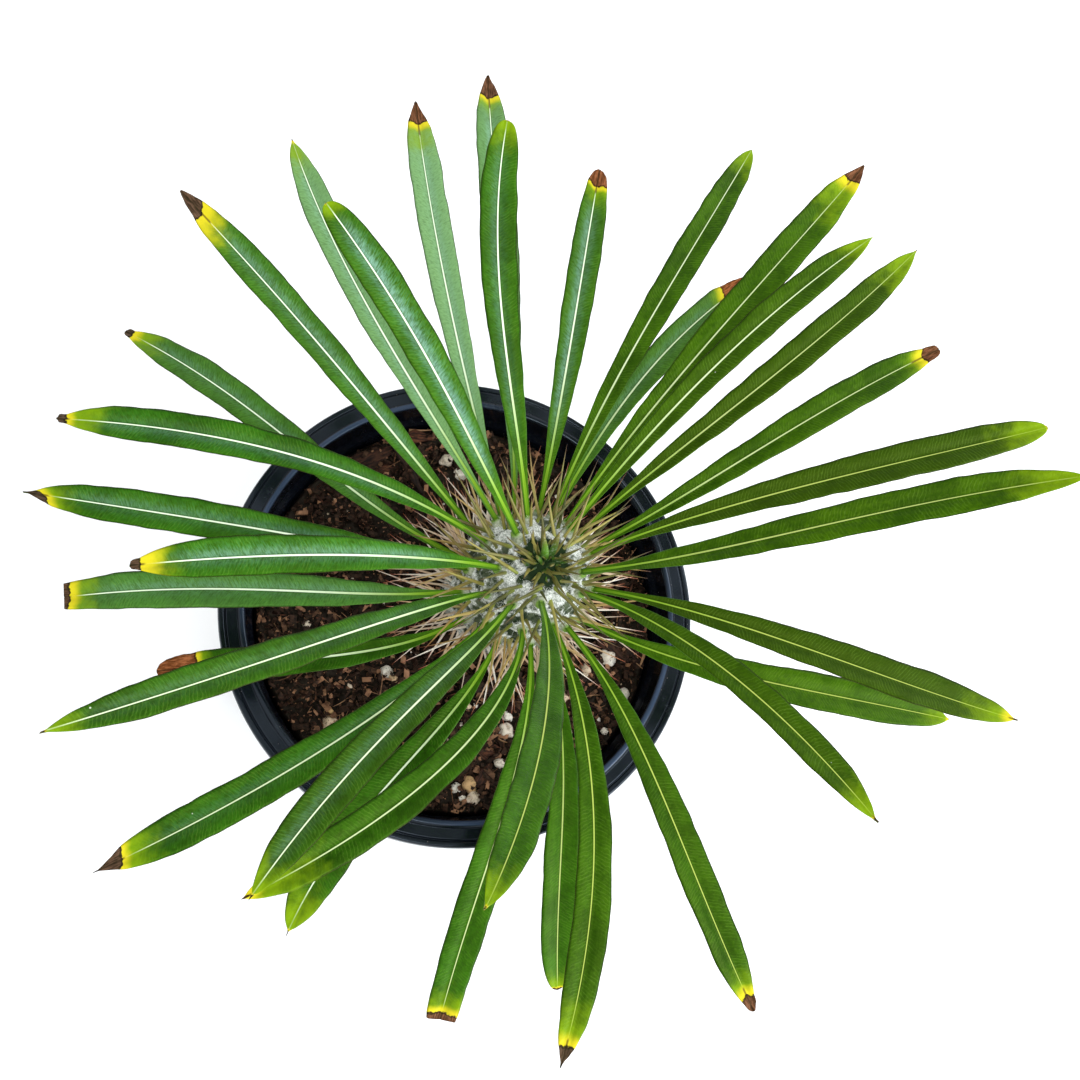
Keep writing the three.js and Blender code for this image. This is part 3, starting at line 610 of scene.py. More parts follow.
def leaf_finish():
    """Glossy green blades with a painted pale sheen, a pale midrib with painted shade beside it, fine
    side veins and ripened and withered ends.
    """
    material, tree, surface = finish(
        "leaf_green", roughness=0.33, specular=0.19, Specular_Tint=(0.75, 1, 0.15, 1),
    )
    place = in_millimetres(tree)
    away = abs(attribute(tree, "blade")[0])
    under = attribute(tree, "turned")[0]
    flesh, streaks = leaf_flesh(tree, place, away)
    ribbed = leaf_rib(tree, flesh, away)
    ended, dead, grain = leaf_end(tree, place, ribbed, away)
    dusted = blend(specks(place, 9.0, 0.03, 0.1) * 0.8, ended, "c6ccb8")
    link(surface.inputs["Base Color"], blend(under * 0.5, dusted, "5d7d3a"))

    dull = (dead + under * 0.5) * 0.4
    uneven_gloss = cloud(place, 3.0) * 0.12
    link(surface.inputs["Roughness"], 0.26 + dull + uneven_gloss)
    veins = raised(streaks, 0.16, 0.9)
    skin = raised(cloud(place, 0.7, 4.0, 0.6), 0.1, 0.7, veins)
    link(surface.inputs["Normal"], raised(grain * dead, 0.5, 0.8, skin))
    return material


def pot_finish():
    """Black moulded plastic with a dull bluish sheen, a painted highlight along the top of the rim's
    bead, dust in its grooves and fine scuffs.
    """
    material, tree, surface = finish(
        "pot_plastic", roughness=0.3, specular=0.42, Specular_Tint=(0.72, 0.86, 1, 1),
    )
    place = in_millimetres(tree)
    black = mottle(place, 30.0, 1.5, "04060b", "0b0f17")
    dust = span(cloud(place, 14.0, 6.0, 0.7), 0.52, 0.8)
    dusty = blend(dust * 0.05, black, "6d7178")
    grains = specks(place, 2.6, 0.1, 0.14)
    specked = blend(grains * 0.5, dusty, "7a7066")
    x, y, height = split(place)
    radius = lay(tree, "ShaderNodeVectorMath", "Value", {0: joined(tree, x, y)}, operation="LENGTH")
    # Painted highlight: blue-grey on the top of the rim's bead, on the upper-left and lower-right
    # quarters.
    bead_in = RIM.radius - RIM.bead - RIM.bead_width
    band = span(radius, bead_in, bead_in + 0.6) * span(radius, bead_in + 2.2, bead_in + 1.5)
    across = abs(x - y)
    topped = band * span(height, POT.height - 1.3, POT.height - 0.7)
    bead_highlight_mask = topped * span(across, 40.0, 105.0)
    inside = span(height, POT.height - 1.2, POT.height - 2.6)
    soiled = span(cloud(place, 5.0, 5.0, 0.7), 0.55, 0.75)
    dirt = inside * soiled * 0.2
    stained = blend(dirt, specked, "33241a")
    bead_highlighted = blend(bead_highlight_mask * 0.85, stained, "36435a")
    link(surface.inputs["Base Color"], bead_highlighted)
    worn = (dust + grains) * 0.25
    link(surface.inputs["Roughness"], 0.2 + worn)
    grain = raised(cloud(place, 0.35), 0.02, 0.4)
    link(surface.inputs["Normal"], raised(grains, 0.2, 0.8, grain))
    return material


def ground_finish(name, dark, light, pale, patch, fine, pits=0.5):
    """Dull crumbly stuff of the soil, with a share of paler fibres."""
    material, tree, surface = finish(name, roughness=0.7, specular=0.3, Specular_Tint=(1, 0.8, 0.6, 1))
    place = in_millimetres(tree)
    tone = attribute(tree, "grown")[1]
    earth = mottle(place, patch, fine, dark, light)
    pick = tone + (cloud(place, 1.6) - 0.5) * 0.6
    link(surface.inputs["Base Color"], blend(span(pick, 0.45, 1.05), earth, pale))
    damp = cloud(place, 6.0) * 0.35
    link(surface.inputs["Roughness"], 0.75 - damp)
    rough = raised(cloud(place, fine), 0.4, pits)
    link(surface.inputs["Normal"], raised(cloud(place, fine / 3), 0.12, pits, rough))
    return material


def bark_finish():
    """Reddish brown bark with fibres along each chip."""
    material, tree, surface = finish("bark_chip", roughness=0.8, specular=0.3)
    place = in_millimetres(tree)
    _, tone, turn = attribute(tree, "grown")
    inputs = {"Vector": place, "Angle": turn * -1.0}
    turned = lay(tree, "ShaderNodeVectorRotate", 0, inputs, rotation_type="Z_AXIS")
    fibre = cloud(stretched(turned, 0.12, 1.0, 1.0), 0.7, 4.0, 0.6)
    dark = blend(tone, "0d0705", "361b11")
    light = blend(tone, "3a251b", "8f5536")
    link(surface.inputs["Base Color"], blend(span(fibre, 0.35, 0.7), dark, light))
    link(surface.inputs["Normal"], raised(fibre, 0.6, 1.0))
    return material


def perlite_finish():
    """Chalky off-white grains, some stained tan, with small dark pits."""
    material, tree, surface = finish("perlite", roughness=0.85, specular=0.3)
    place = in_millimetres(tree)
    stain = attribute(tree, "grown")[1]
    clean = blend(stain, "e6e0d4", "c39a66")
    soiled = span(cloud(place, 2.0, 4.0), 0.48, 0.72)
    stained = blend(soiled * 0.6, clean, "7a5a3c")
    distance = lay(tree, "ShaderNodeTexVoronoi", "Distance", {"Vector": place, "Scale": 1 / 0.9})
    pits = span(distance, 0.3, 0.12)
    link(surface.inputs["Base Color"], blend(pits * 0.7, stained, "3a2a20"))
    lumps = raised(cloud(place, 0.8), 0.4, 0.8)
    link(surface.inputs["Normal"], raised(1.0 - pits, 0.3, 0.6, lumps))
    return material


def skin_finish():
    """Grey-green stem skin with silvery wool on its tubercles and raised lumps, and dark green in its
    grooves and hollows, partly painted shade.
    """
    material, tree, surface = finish("stem_skin", roughness=0.8, specular=0.2)
    place = in_millimetres(tree)
    wool, down, lump = attribute(tree, "skin")
    strands = cloud(stretched(place, 1.0, 1.0, 0.35), 0.45, 4.0, 0.7)
    groove = mottle(place, 5.0, 1.0, "1b2a14", "59624a")
    silver = blend(span(strands, 0.36, 0.62), "8d9488", "f0f1ea")
    # Wool pales the high spots and the dark groove colour fills the low ones: real wool and green skin,
    # with painted shade in the hollows.
    high = wool * 0.7 + lump * 0.9
    cover = high + (cloud(place, 1.6) - 0.5)
    woolly = blend(span(cover, 0.05, 0.45), groove, silver)
    ragged = down + (cloud(place, 3.0) - 0.5) * 7.0
    crown = blend(span(ragged, 3.2, 1.6), woolly, "16290c")
    old = blend(span(down, 40.0, 64.0) * 0.3, crown, "7d6d58")
    link(surface.inputs["Base Color"], old)
    fibres = raised(strands, 0.35, 0.9)
    link(surface.inputs["Normal"], raised(cloud(place, 1.1), 0.5, 0.8, fibres))
    return material


def wool_finish():
    """Silvery hairs that turn tan towards the stem's foot."""
    material, tree, surface = finish("silver_wool", roughness=0.6, specular=0.3)
    _, tone, down = attribute(tree, "grown")
    fresh = blend(tone, "b2b8ac", "fafaf4")
    aged = span(down, 35.0, 62.0) * 0.4
    link(surface.inputs["Base Color"], blend(aged, fresh, "a39378"))
    return material


def spine_finish():
    """Spines: olive and yellow at the crown, tan below, bleached at the foot, with dark tips."""
    material, tree, surface = finish("spine", roughness=0.42, specular=0.45)
    place = in_millimetres(tree)
    along, down, tone = attribute(tree, "grown")
    young = blend(tone, "3b4214", "a1964e")
    middle = blend(tone, "99753a", "d6b272")
    old = blend(tone, "cfa982", "fff8ec")
    grown = blend(span(down, 12.0, 30.0), young, middle)
    aged = blend(span(down, 25.0, 42.0), grown, old)
    foot = blend(span(along, 0.3, 0.02), aged, blend(span(down, 25.0, 45.0), "8a9a3a", old))
    streak = cloud(place, 1.5, 3.0)
    streaked = blend(span(streak, 0.5, 0.75) * 0.3, foot, "6b4a22")
    tip = span(along + span(down, 25.0, 55.0) * -0.05, 0.7, 0.98)
    ends = blend(span(down, 15.0, 45.0), "4c2f16", "b8552a")
    link(surface.inputs["Base Color"], blend(tip, streaked, ends))
    link(surface.inputs["Normal"], raised(streak, 0.08, 0.6))
    return material


def bud_finish():
    """Young leaves at the tip, bright green with pale woolly edges."""
    material, tree, surface = finish("young_leaf", roughness=0.45, specular=0.4)
    place = in_millimetres(tree)
    along, tone, _ = attribute(tree, "grown")
    green = blend(tone, "1c3a10", "5c8a26")
    tipped = blend(span(along, 0.45, 1.0), green, "74682c")
    soft = cloud(place, 0.8)
    link(surface.inputs["Base Color"], blend(span(soft, 0.5, 0.7) * 0.25, tipped, "cfd6c0"))
    link(surface.inputs["Normal"], raised(soft, 0.15, 0.6))
    return material


def cushion_finish():
    """Woolly stalks that turn green where the leaves stand."""
    material, tree, surface = finish("leaf_cushion", roughness=0.7, specular=0.3)
    place = in_millimetres(tree)
    along = attribute(tree, "grown")[0]
    base = mottle(place, 3.0, 0.6, "6f785c", "bcc1a8")
    link(surface.inputs["Base Color"], blend(span(along, 0.75, 1.0), base, "6a8a34"))
    link(surface.inputs["Normal"], raised(cloud(place, 0.6), 0.25, 0.7))
    return material


# ---------------------------------------------------------------- pot


def pot_inside(height):
    """Inside radius of the pot's straight wall at a height."""
    return lerp(POT.foot_radius, POT.shoulder_radius, height / POT.shoulder_height) - POT.wall


def pot_outline():
    foot_in, foot_out = POT.foot_ring
    roof = POT.height - RIM.roof
    skirt_foot = POT.height - RIM.skirt
    neck_foot = POT.shoulder_height + POT.step_rise
    lip_in = RIM.radius - RIM.lip
    ring_out = lip_in - 2 * RIM.groove
    bead_out = RIM.radius - RIM.bead
    floor_top = POT.foot_height + POT.floor
    bead = [
        (
            bead_out - RIM.bead_width / 2 * (1 - math.cos(turn)),
            POT.height - RIM.bead_height * (1 - math.sin(turn)),
        )
        for turn in np.linspace(0, math.pi, RIM.bead_steps)
    ]
    return [
        (0, 0),
        (POT.disc_radius, 0),
        (POT.disc_radius + POT.bevel, POT.foot_height),
        (foot_in - POT.bevel, POT.foot_height),
        (foot_in, 0),
        (foot_out, 0),
        (POT.foot_radius, POT.heel),
        (POT.shoulder_radius, POT.shoulder_height),
        (POT.shoulder_radius + POT.step_width, neck_foot),
        (POT.neck_radius, roof),
        (RIM.radius - POT.wall, roof),
        (RIM.radius - POT.wall, skirt_foot),
        (RIM.radius - POT.wall / 4, skirt_foot),
        (RIM.radius, POT.height - 2 * RIM.lip_low),
        (RIM.radius - RIM.groove, POT.height - RIM.lip_low),
        (lip_in, POT.height - RIM.lip_low),
        (lip_in - RIM.groove, POT.height - RIM.groove_low),
        (ring_out, POT.height - RIM.ring_low),
        *bead,
        (POT.neck_radius - POT.wall, POT.height - RIM.bead_low),
        (POT.shoulder_radius + POT.step_width - POT.wall, neck_foot),
        (POT.shoulder_radius - POT.wall, POT.shoulder_height),
        (pot_inside(floor_top + POT.bevel), floor_top + POT.bevel),
        (pot_inside(floor_top) - POT.bevel, floor_top),
        (0, floor_top),
    ]


def pot_shell(material):
    bm = spun(pot_outline(), POT.sides)
    sharp = [edge for edge in bm.edges if edge.is_manifold and edge.calc_face_angle() > 0.3]
    bmesh.ops.bevel(
        bm, geom=sharp, offset=0.4, offset_type="OFFSET", affect="EDGES", segments=3,
        profile=0.5, material=-1, clamp_overlap=True,
    )
    pot = finished(bm, "pot_shell", material, "pot_plastic", "pot")
    drills = bmesh.new()
    for i in range(DRAIN.count):
        middle = pointing(360 * i / DRAIN.count, 0) * DRAIN.ring
        bmesh.ops.create_cone(
            drills, cap_ends=True, segments=DRAIN.sides, radius1=DRAIN.radius,
            radius2=DRAIN.radius, depth=DRAIN.depth, matrix=Matrix.Translation(Vector(middle)),
        )
    bmesh.ops.scale(drills, vec=(MM,) * 3, verts=drills.verts)
    drill = bpy.data.objects.new("drill", template(drills, "drill"))
    bpy.context.scene.collection.objects.link(drill)
    cut = pot.modifiers.new("drains", "BOOLEAN")
    cut.operation = "DIFFERENCE"
    cut.solver = "EXACT"
    cut.object = drill
    graph = bpy.context.evaluated_depsgraph_get()
    pot.data = bpy.data.meshes.new_from_object(pot.evaluated_get(graph))
    pot.modifiers.clear()
    bpy.data.objects.remove(drill)
    return pot


# ---------------------------------------------------------------- soil


def from_stem(x, y):
    return math.hypot(x - STEM.foot[0], y - STEM.foot[1])


def soil_top(x, y):
    """Height of the soil's lumpy top, which is level round the stem."""
    lumps = math.sin(0.19 * x + 1.1) * math.cos(0.16 * y - 0.6)
    crumbs = 0.6 * math.sin(0.41 * x - 0.33 * y + 2) + 0.4 * math.cos(0.52 * y + 0.2 * x)
    rough = smoothstep(from_stem(x, y), *SOIL.calm)
    return SOIL.level + SOIL.relief * rough * (lumps + crumbs) * 0.7


def soil_bed(material):
    """The filling, with a fine crumbly top and the hole that the stem stands in."""
    hole = STEM.foot_radius + SOIL.gap
    hole_depth = SOIL.level - STEM.root_depth - SOIL.gap
    bottom = POT.foot_height + POT.floor + SOIL.gap
    edge = pot_inside(SOIL.level - SOIL.shoulder) - SOIL.gap
    rim = edge - SOIL.shoulder * 0.4
    outline = [(0, hole_depth), (hole, hole_depth)]
    outline += [(lerp(hole, rim, step / BED.rings), SOIL.level) for step in range(BED.rings + 1)]
    outline += [
        (edge, SOIL.level - SOIL.shoulder),
        (pot_inside(bottom + SOIL.heel) - SOIL.gap, bottom + SOIL.heel),
        (pot_inside(bottom) - SOIL.heel - SOIL.gap, bottom),
        (0, bottom),
    ]
    bm = spun(outline, BED.sides)
    grown = bm.verts.layers.float_vector.new("grown")
    for vert in bm.verts:
        radius = math.hypot(vert.co.x, vert.co.y)
        upper = vert.co.z > SOIL.level - SOIL.shoulder - 0.1
        if upper or vert.co.z > bottom + SOIL.heel + 0.1:
            share = clamp((rim - radius) / (rim - hole), 0, 1) if upper else (radius < hole + 1)
            vert.co.x += STEM.foot[0] * share
            vert.co.y += STEM.foot[1] * share
        if vert.co.z == SOIL.level:
            x, y = vert.co.x, vert.co.y
            away = smoothstep(radius, hole, hole + BED.calm_hole)
            away *= smoothstep(radius, rim, rim - BED.calm_edge)
            lumps = abs(ripple(x / 2.1, y / 2.1, 5)) + 0.5 * abs(ripple(x / 0.9, y / 0.9, 9))
            hollow = max(0, ripple(x / 9, y / 9, 2) - 0.15)
            vert.co.z = soil_top(x, y) + away * (BED.rough * lumps - BED.sunk - BED.hollows * hollow)
        vert[grown] = (0, 0.25 * ripple(vert.co.x / 3, vert.co.y / 3, 7), 0)
    return finished(bm, "soil_bed", material, "potting_soil", "soil")


def lump(seed, faces=1, rough=0.5, flat=0.8):
    """A small irregular crumb, about 1 mm across."""
    bm = bmesh.new()
    bmesh.ops.create_icosphere(bm, subdivisions=faces, radius=0.5)
    bm.verts.layers.float_vector.new("grown")
    for vert in bm.verts:
        swell = ripple(vert.co.x * 2.4, vert.co.y * 2.4, vert.co.z * 2.4 + seed * 7.3)
        vert.co *= 1 + rough * swell * 2
        vert.co.z *= flat
    return template(bm, "lump")


def chip(seed):
    """A split sliver of bark, 1 mm long along X, with torn ends and layered sides."""
    bm = bmesh.new()
    bmesh.ops.create_cube(bm, size=1)
    bmesh.ops.scale(bm, vec=(1, BARK.slender, CHIPS.thin), verts=bm.verts)
    cut_along(bm, 0, 0.5, 7, use_grid_fill=True)
    cut_along(bm, 1, 0.2, 2, use_grid_fill=True)
    layer = bm.verts.layers.float_vector.new("grown")
    for vert in bm.verts:
        x, y = vert.co.x, vert.co.y
        vert.co.y *= lerp(1.15, 0.5, smoothstep(x, -0.1, 0.5)) * (1 + 0.5 * ripple(x * 5, seed * 3.1))
        vert.co.x *= 1 + 0.16 * ripple(y * 9, seed * 5.7)
        vert.co.z += 0.05 * ripple(x * 4, y * 9, seed) + 0.06 * (0.25 - x * x) * ripple(seed, 1.7)
        vert[layer] = (x + 0.5, 0, 0)
    return template(bm, "chip")


def strand(segments, sides, bend, taper, flat=1.0, power=1):
    """A bent needle 1 mm long that stands on the origin, 1 mm in radius at its foot.

    It loses the taper's share of its width by its tip, the later the higher the power is.
    """
    bm = bmesh.new()
    bmesh.ops.create_cone(
        bm, cap_ends=True, segments=sides, radius1=1, radius2=1, depth=1,
        matrix=Matrix.Translation((0, 0, 0.5)),
    )
    cut_along(bm, 2, 0.5, segments - 1)
    layer = bm.verts.layers.float_vector.new("grown")
    for vert in bm.verts:
        share = vert.co.z
        width = 1 - taper * share ** power
        vert.co.x = vert.co.x * width
        vert.co.y = vert.co.y * width * flat
        vert.co.x += bend * 4 * share * (1 - share)
        vert[layer] = (share, 0, 0)
    return template(bm, "strand")


def scattered(count, draw):
    """Places drawn at random, evenly over the soil and clear of the stem."""
    spots = []
    while len(spots) < count:
        reach = SCATTER.reach * math.sqrt(draw())
        x, y, _ = pointing(360 * draw(), 0) * reach
        if from_stem(x, y) < SCATTER.clear_of_stem:
            continue
        spots.append((x, y, math.pi * draw(), draw()))
    return spots


def bark_chips(material):
    draw = seeded(7)
    rows = [(x, y, math.radians(turn), length, BARK.tilt / 2) for x, y, turn, length in BARK_PIECES]
    for x, y, turn, size in scattered(SCATTER.bark, draw):
        length = lerp(*SCATTER.bark_length, size * size)
        rows.append((x, y, turn, length, lerp(-BARK.tilt, BARK.tilt, size)))
    small = seeded(41)
    for x, y, turn, size in scattered(CHIPS.count, small):
        length = lerp(*CHIPS.length, size ** CHIPS.crowding)
        rows.append((x, y, turn * 2, length, lerp(*CHIPS.tilt, small())))
    tone = seeded(3)
    spots = []
    for i, (x, y, turn, length, tilt) in enumerate(rows):
        least = BARK.thickness / CHIPS.thin if length > CHIPS.long_from else CHIPS.thickness
        slender = 1 if length > CHIPS.wide_from and i else lerp(*CHIPS.slender, i % 7 / 6)
        size = (length, length * slender, max(length * 0.9, least))
        lift = BARK.proud if i < len(BARK_PIECES) + SCATTER.bark else CHIPS.lift
        place = lying(x, y, soil_top(x, y) + lift, turn, tilt, size)
        spots.append((i, place, 0.7 * tone() ** 2.2, turn))
    bm = planted([chip(seed) for seed in range(6)], spots)
    return finished(bm, "bark_chips", material, "potting_soil", "soil")


def perlite_grains(material):
    draw = seeded(7)
    scattered(SCATTER.bark, draw)
    rows = [(x, y, x, size) for x, y, size in PERLITE_GRAINS + SMALL_GRAINS]
    for x, y, turn, size in scattered(SCATTER.perlite, draw):
        rows.append((x, y, turn, lerp(*GRAINS.placed, size)))
    for x, y, turn, size in scattered(GRAINS.count, seeded(59)):
        rows.append((x, y, turn, lerp(*GRAINS.size, size ** GRAINS.crowding)))
    stain = seeded(13)
    spots = []
    for i, (x, y, turn, size) in enumerate(rows):
        height = soil_top(x, y) + GRAINS.lift * size
        place = lying(x, y, height, turn, GRAINS.tilt, (size, size * 0.85, size * 0.8))
        spots.append((i, place, stain() ** 1.3, turn))
    bm = planted([lump(seed, faces=3, rough=0.24, flat=0.85) for seed in range(5)], spots)
    return finished(bm, "perlite_grains", material, "potting_soil", "soil")


def flake(seed):
    """A torn flat fragment, 1 mm long along X."""
    bm = bmesh.new()
    bmesh.ops.create_cube(bm, size=1)
    bm.verts.layers.float_vector.new("grown")
    for vert in bm.verts:
        corner = vert.co * 3 + Vector((seed * 4.3, seed * 1.7, 0))
        vert.co += Vector((ripple(*corner), ripple(*(corner * 1.7)), ripple(*(corner * 2.3)))) * 0.45
        vert.co.y *= 0.34
        vert.co.z *= 0.2
    return template(bm, "flake")


def soil_crumbs(material):
    """Torn flakes and small lumps, tipped every way, all over the soil's top."""
    draw = seeded(83)
    flakes = [flake(seed) for seed in range(CRUMBS.flake_shapes)]
    lumps = [lump(seed) for seed in range(CRUMBS.lump_shapes)]
    spots = []
    for _ in range(CRUMBS.drawn):
        reach = CRUMBS.reach * math.sqrt(draw())
        x, y, _ = pointing(360 * draw(), 0) * reach
        turn, tilt = math.tau * draw(), lerp(*CRUMBS.tilt, draw())
        flat, tone = draw() < CRUMBS.flakes, draw()
        if flat:
            size = lerp(*CRUMBS.flake, draw() ** CRUMBS.flake_crowding)
        else:
            size = lerp(*CRUMBS.lump, draw() ** CRUMBS.lump_crowding)
        if from_stem(x, y) < STEM.foot_radius + CRUMBS.clear_of_stem:
            continue
        if math.hypot(x, y) + size / 2 > CRUMBS.edge:
            continue
        height = soil_top(x, y) - CRUMBS.sunk + 0.3 * size * abs(math.sin(tilt)) + CRUMBS.heaped * draw()
        if flat:
            which = int(CRUMBS.flake_shapes * draw())
            scale = (size, size * lerp(*CRUMBS.slender, draw()), size)
        else:
            which = CRUMBS.flake_shapes + int(CRUMBS.lump_shapes * draw())
            scale = (size,) * 3
        shade = tone ** (CRUMBS.flake_tone if flat else CRUMBS.lump_tone)
        spots.append((which, lying(x, y, height, turn, tilt, scale), shade, turn))
    bm = planted(flakes + lumps, spots)
    return finished(bm, "soil_crumbs", material, "potting_soil", "soil", smooth=False)


def root_fibres(material):
    """Thin roots and torn fibres on the soil, and the long slivers."""
    draw = seeded(29)
    spots = []
    for x, y, turn, size in scattered(FIBRES.count, draw):
        way = pointing(math.degrees(turn) * 2, lerp(*FIBRES.slope, draw()))
        length = lerp(*FIBRES.length, size ** FIBRES.crowding)
        root = (x, y, soil_top(x, y) + FIBRES.lift)
        width = lerp(*FIBRES.width, draw())
        place = placed(root, way, (width, width, length), math.tau * draw())
        spots.append((1 if size > FIBRES.straight_above else 0, place, draw(), 0))
    for (x0, y0), (x1, y1), bulge, width in SLIVERS:
        start = np.array((x0, y0, soil_top(x0, y0) + FIBRES.lift))
        end = np.array((x1, y1, soil_top(x1, y1) + FIBRES.sliver_end))
        along = end - start
        length = float(np.linalg.norm(along))
        place = placed(start, along / length, (width / 2, width / 2, length), 0)
        spots.append((2 if bulge > 1 else 0, place, 0.9, 0))
    shapes = [strand(8, 6, 0.6, 0.7, 0.6), strand(8, 5, 2.6, 0.8), strand(8, 6, 3.2, 0.5, 0.5)]
    bm = planted(shapes, spots)
    return finished(bm, "root_fibres", material, "potting_soil", "soil")


# ---------------------------------------------------------------- leaves


def stem_radius(down):
    """Radius of the smooth stem at a distance below its tip."""
    if down <= STEM.belt:
        left = (STEM.belt - down) / STEM.belt
        return STEM.belt_radius * max(0, 1 - left ** 2.6) ** (1 / 2.2)
    past = (down - STEM.belt) / (STEM.height - STEM.belt)
    return lerp(STEM.belt_radius, STEM.foot_radius, min(1, past * past))


def stem_axis(down):
    """How far the stem's axis has leant over at a distance below its tip."""
    share = clamp(1 - down / STEM.height, 0, 1)
    return np.array((STEM.lean[0] * share, STEM.lean[1] * share, STEM.height - down))


def stem_point(side, down):
    return stem_axis(down) + pointing(side, 0) * stem_radius(down)


def stem_slope(down):
    """Slope of the stem's surface normal, in degrees above level."""
    low = stem_radius(down + 0.5)
    high = stem_radius(max(0, down - 0.5))
    return math.degrees(math.atan2(low - high, 1))


def leaf_heading(leaf, share):
    """Which way a leaf's middle line runs, as side and slope in the leaf's own frame."""
    near = 1 - (1 - share) ** 3
    bend = 1 - (1 - share) ** 2
    return leaf.turn * near + leaf.sweep * share, leaf.rise - leaf.droop * bend


def leaf_line(leaf):
    """The middle line as equal steps, each with its point, its way across and its way up."""
    point = np.zeros(3)
    line = []
    for step in range(LEAF_STEPS + 1):
        side, slope = leaf_heading(leaf, step / LEAF_STEPS)
        line.append((point.copy(), pointing(side - 90, 0), pointing(side, slope + 90)))
        onward = leaf_heading(leaf, (step + 0.5) / LEAF_STEPS)
        point += pointing(*onward) * leaf.length / LEAF_STEPS
    return line


def leaf_width(leaf, share):
    """Width of the leaf laid flat: a narrow petiole, a long widening blade, a short taper."""
    grown = clamp((share - PETIOLE.share) / (BLADE.widest - PETIOLE.share), 0, 1)
    swollen = math.sin(grown * math.pi / 2) ** BLADE.swell
    wide = lerp(PETIOLE.width, leaf.width, swollen)
    if share <= BLADE.widest:
        return wide
    past = (share - BLADE.widest) / (1 - BLADE.widest)
    if leaf.end == "stub":
        return wide * (1 - STUB_TAPER[leaf.number] * past * past)
    late, power = BLADE.blunt
    if leaf.end == "green":
        power /= leaf.blunt
    return max(BLADE.tip_width, wide * max(0, 1 - past ** late) ** power)


def end_width(leaf, left):
    """Width a distance from the end: a withered part of its own shape, and maybe a last hair."""
    if left < leaf.hair:
        return HAIR.tip + (HAIR.foot - HAIR.tip) * left / leaf.hair
    if left > leaf.withered or leaf.withered <= leaf.hair:
        return leaf_width(leaf, 1 - (left - leaf.hair) / (leaf.length - leaf.hair))
    green = leaf_width(leaf, 1 - (leaf.withered - leaf.hair) / (leaf.length - leaf.hair))
    past = (leaf.withered - left) / (leaf.withered - leaf.hair)
    return HAIR.foot + (green - HAIR.foot) * (1 - past ** leaf.blunt) ** (1 / leaf.blunt)


def leaf_seat(leaf):
    reach = CUSHION.height + SOIL.gap
    return stem_point(leaf.side, leaf.down) + pointing(leaf.side, leaf.rise) * reach


def section_spot(corner):
    """Where a corner of the round tube goes in the folded section: share across, and side."""
    top, under = BLADE.half_columns, BLADE.under_columns
    count = 2 * (top + under)
    number = round(math.atan2(corner.y, corner.x) / math.tau * count) % count
    if number <= 2 * top:
        step = (number - top) / top
        return math.copysign(abs(step) ** 1.5, step), 1
    step = (2 * top + under - number) / under
    return math.copysign(abs(step) ** 1.3, step), -1


def along_line(line, share):
    """The point, the way across and the way up at a share of a leaf's middle line."""
    spot = share * LEAF_STEPS
    step = min(int(spot), LEAF_STEPS - 1)
    return [lerp(first, second, spot - step) for first, second in zip(line[step], line[step + 1])]


def leaf_tube():
    """An upright round tube 1 mm long, turned so that a corner of each ring lies on +X."""
    bm = bmesh.new()
    count = 2 * (BLADE.half_columns + BLADE.under_columns)
    bmesh.ops.create_cone(
        bm, cap_ends=True, cap_tris=False, segments=count, radius1=1, radius2=1, depth=1,
        matrix=Matrix.Translation((0, 0, 0.5)) @ Matrix.Rotation(-math.pi / count, 4, "Z"),
    )
    first = bm.verts[:][0].co
    shift = math.atan2(first.y, first.x) / math.tau * count
    bmesh.ops.rotate(
        bm, verts=bm.verts, cent=(0, 0, 0),
        matrix=Matrix.Rotation((round(shift) - shift) * math.tau / count, 3, "Z"),
    )
    cut_along(bm, 2, 0.5, BLADE.rows - 1)
    return bm


